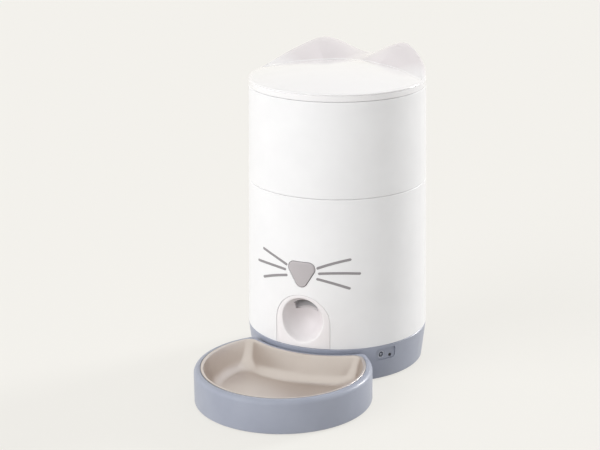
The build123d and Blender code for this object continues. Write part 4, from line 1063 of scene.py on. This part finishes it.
solidFinish = {
    "greyBase": ("base_shell", "base_plate", "bowl_tray"),
    "footRubber": ("base_feet", "tray_feet"),
    "platedSteel": ("base_screws", "joint_screws", "deck_screws", "rotor_shaft", "pinion_shaft"),
    "portGrey": ("port_plate",),
    "jackGrey": ("dc_jack",),
    "blackPlastic": ("reset_switch", "reset_button", "board_parts", "food_sensors", "feed_switch"),
    "circuitBoard": ("control_board", "button_board"),
    "tinCan": ("wifi_module", "motor_bracket", "gear_motor"),
    "whiteShell": ("lower_shell", "chute_panel", "upper_shell"),
    "whiskerGrey": ("whisker_inlays",),
    "ductPaintedShade": ("chute_duct",),
    "noseGrey": ("feed_button",),
    "innerPlastic": ("metering_deck", "rotor_hub", "lid_liner", "desiccant_box"),
    "bushAcetal": ("shaft_bush",),
    "vaneSilicone": ("rotor_vanes",),
    "gearNylon": ("drive_gear", "motor_pinion"),
    "tankPlastic": ("hopper_tank", "hopper_funnel", "hopper_cover"),
    "sealSilicone": ("lid_seal",),
    "dishSteel": ("steel_dish",),
    "whiteLid": ("lid_shell",),
}
for look, nodes in solidFinish.items():
    for node in nodes:
        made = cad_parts[node]
        made.data.materials.clear()
        made.data.materials.append(finish[look])
print("solids finished")


# studio: paper floor, sky, two suns and the camera

studio = {
    "paper": (252, 249, 243),
    "floorSize": 16.0, "floorLift": 0.7, "floorGlow": (255, 253, 247), "floorColour": (208, 206, 203),
    "zenith": 0.46, "horizon": 0.80,
    # turn from the front towards +X, lift above the floor, and whether the lamp is seen in gloss
    "key": {"turn": -35.0, "lift": 26.0, "strength": 1.75, "spread": 50.0, "mirrored": False},
    "rim": {"turn": 146.0, "lift": 20.0, "strength": 2.05, "spread": 16.0, "mirrored": True},
}
view = {
    "azimuth": 22.85, "elevation": 17.25, "distance": 1.700, "aimZ": 0.147,
    "focal": 1560.0, "across": 37.4, "width": 600.0, "sensor": 36.0,
}


def seenDirectly(tree):
    # 1 for camera, mirror and glass rays, 0 for the light that falls on the object
    path = tree.node("ShaderNodeLightPath")
    outs = path.out.node.outputs
    picked = [Sock(tree, outs[name]) for name in ("Is Camera Ray", "Is Glossy Ray", "Is Transmission Ray")]
    return picked[0] + picked[1] + picked[2]


def paperFloor():
    paint = Paint("paperFloor")
    lit = paint.node("ShaderNodeBsdfDiffuse", {}, {"Color": toLinear(*studio["floorColour"])})
    glow = paint.node("ShaderNodeEmission", {}, {"Color": toLinear(*studio["floorGlow"]), "Strength": 1.0})
    share = seenDirectly(paint) * studio["floorLift"]
    both = paint.node("ShaderNodeMixShader", {}, {0: share, 1: lit, 2: glow})
    paint.node("ShaderNodeOutputMaterial", {}, {"Surface": both})
    half = studio["floorSize"] / 2
    mesh = bpy.data.meshes.new("floor")
    corners = [(-half, -half, 0), (half, -half, 0), (half, half, 0), (-half, half, 0)]
    mesh.from_pydata(corners, [], [(0, 1, 2, 3)])
    mesh.materials.append(paint.material)
    made = bpy.data.objects.new("floor", mesh)
    bpy.context.scene.collection.objects.link(made)


def skyLight():
    # the sky that lights the object is a little brighter near the horizon; what is seen of it is the paper
    world = bpy.data.worlds.new("studio")
    bpy.context.scene.world = world
    world.use_nodes = True
    tree = Tree(world.node_tree)
    place = tree.node("ShaderNodeTexCoord")
    apart = tree.node("ShaderNodeSeparateXYZ", {}, {0: place})
    up = Sock(tree, apart.out.node.outputs[2])
    zenith, horizon = studio["zenith"], studio["horizon"]
    level = tree.node("ShaderNodeMapRange", {}, {"Value": up, "From Min": 0.0, "From Max": 1.0,
                                                 "To Min": horizon, "To Max": zenith})
    plain = tree.node("ShaderNodeBackground", {}, {"Color": rgb(1, 1, 1), "Strength": level})
    seen = tree.node("ShaderNodeBackground", {}, {"Color": toLinear(*studio["paper"]), "Strength": 1.0})
    both = tree.node("ShaderNodeMixShader", {}, {0: seenDirectly(tree), 1: plain, 2: seen})
    tree.node("ShaderNodeOutputWorld", {}, {"Surface": both})


def pointing(turn, lift):
    # towards a place that is seen from the object, by its turn from the front towards +X and its lift
    turn, lift = math.radians(turn), math.radians(lift)
    return Vector((math.sin(turn) * math.cos(lift), -math.cos(turn) * math.cos(lift), math.sin(lift)))


def sun(name, turn, lift, strength, spread, mirrored):
    lamp = bpy.data.lights.new(name, "SUN")
    lamp.energy = strength
    lamp.angle = math.radians(spread)
    made = bpy.data.objects.new(name, lamp)
    made.visible_glossy = mirrored
    bpy.context.scene.collection.objects.link(made)
    made.rotation_euler = pointing(turn, lift).to_track_quat("Z", "Y").to_euler()


def camera():
    made = bpy.data.objects.new("camera", bpy.data.cameras.new("camera"))
    bpy.context.scene.collection.objects.link(made)
    back = pointing(view["azimuth"], view["elevation"])
    made.location = Vector((0, axisY * mm, view["aimZ"])) + back * view["distance"]
    made.rotation_euler = back.to_track_quat("Z", "Y").to_euler()
    made.data.sensor_width = view["sensor"]
    made.data.lens = view["sensor"] * view["focal"] / view["width"]
    made.data.shift_x = -view["across"] / view["width"]
    bpy.context.scene.camera = made


paperFloor()
skyLight()
for name in ("key", "rim"):
    sun(name, **studio[name])
camera()
bpy.context.scene.view_settings.view_transform = "Standard"
print("studio ready")
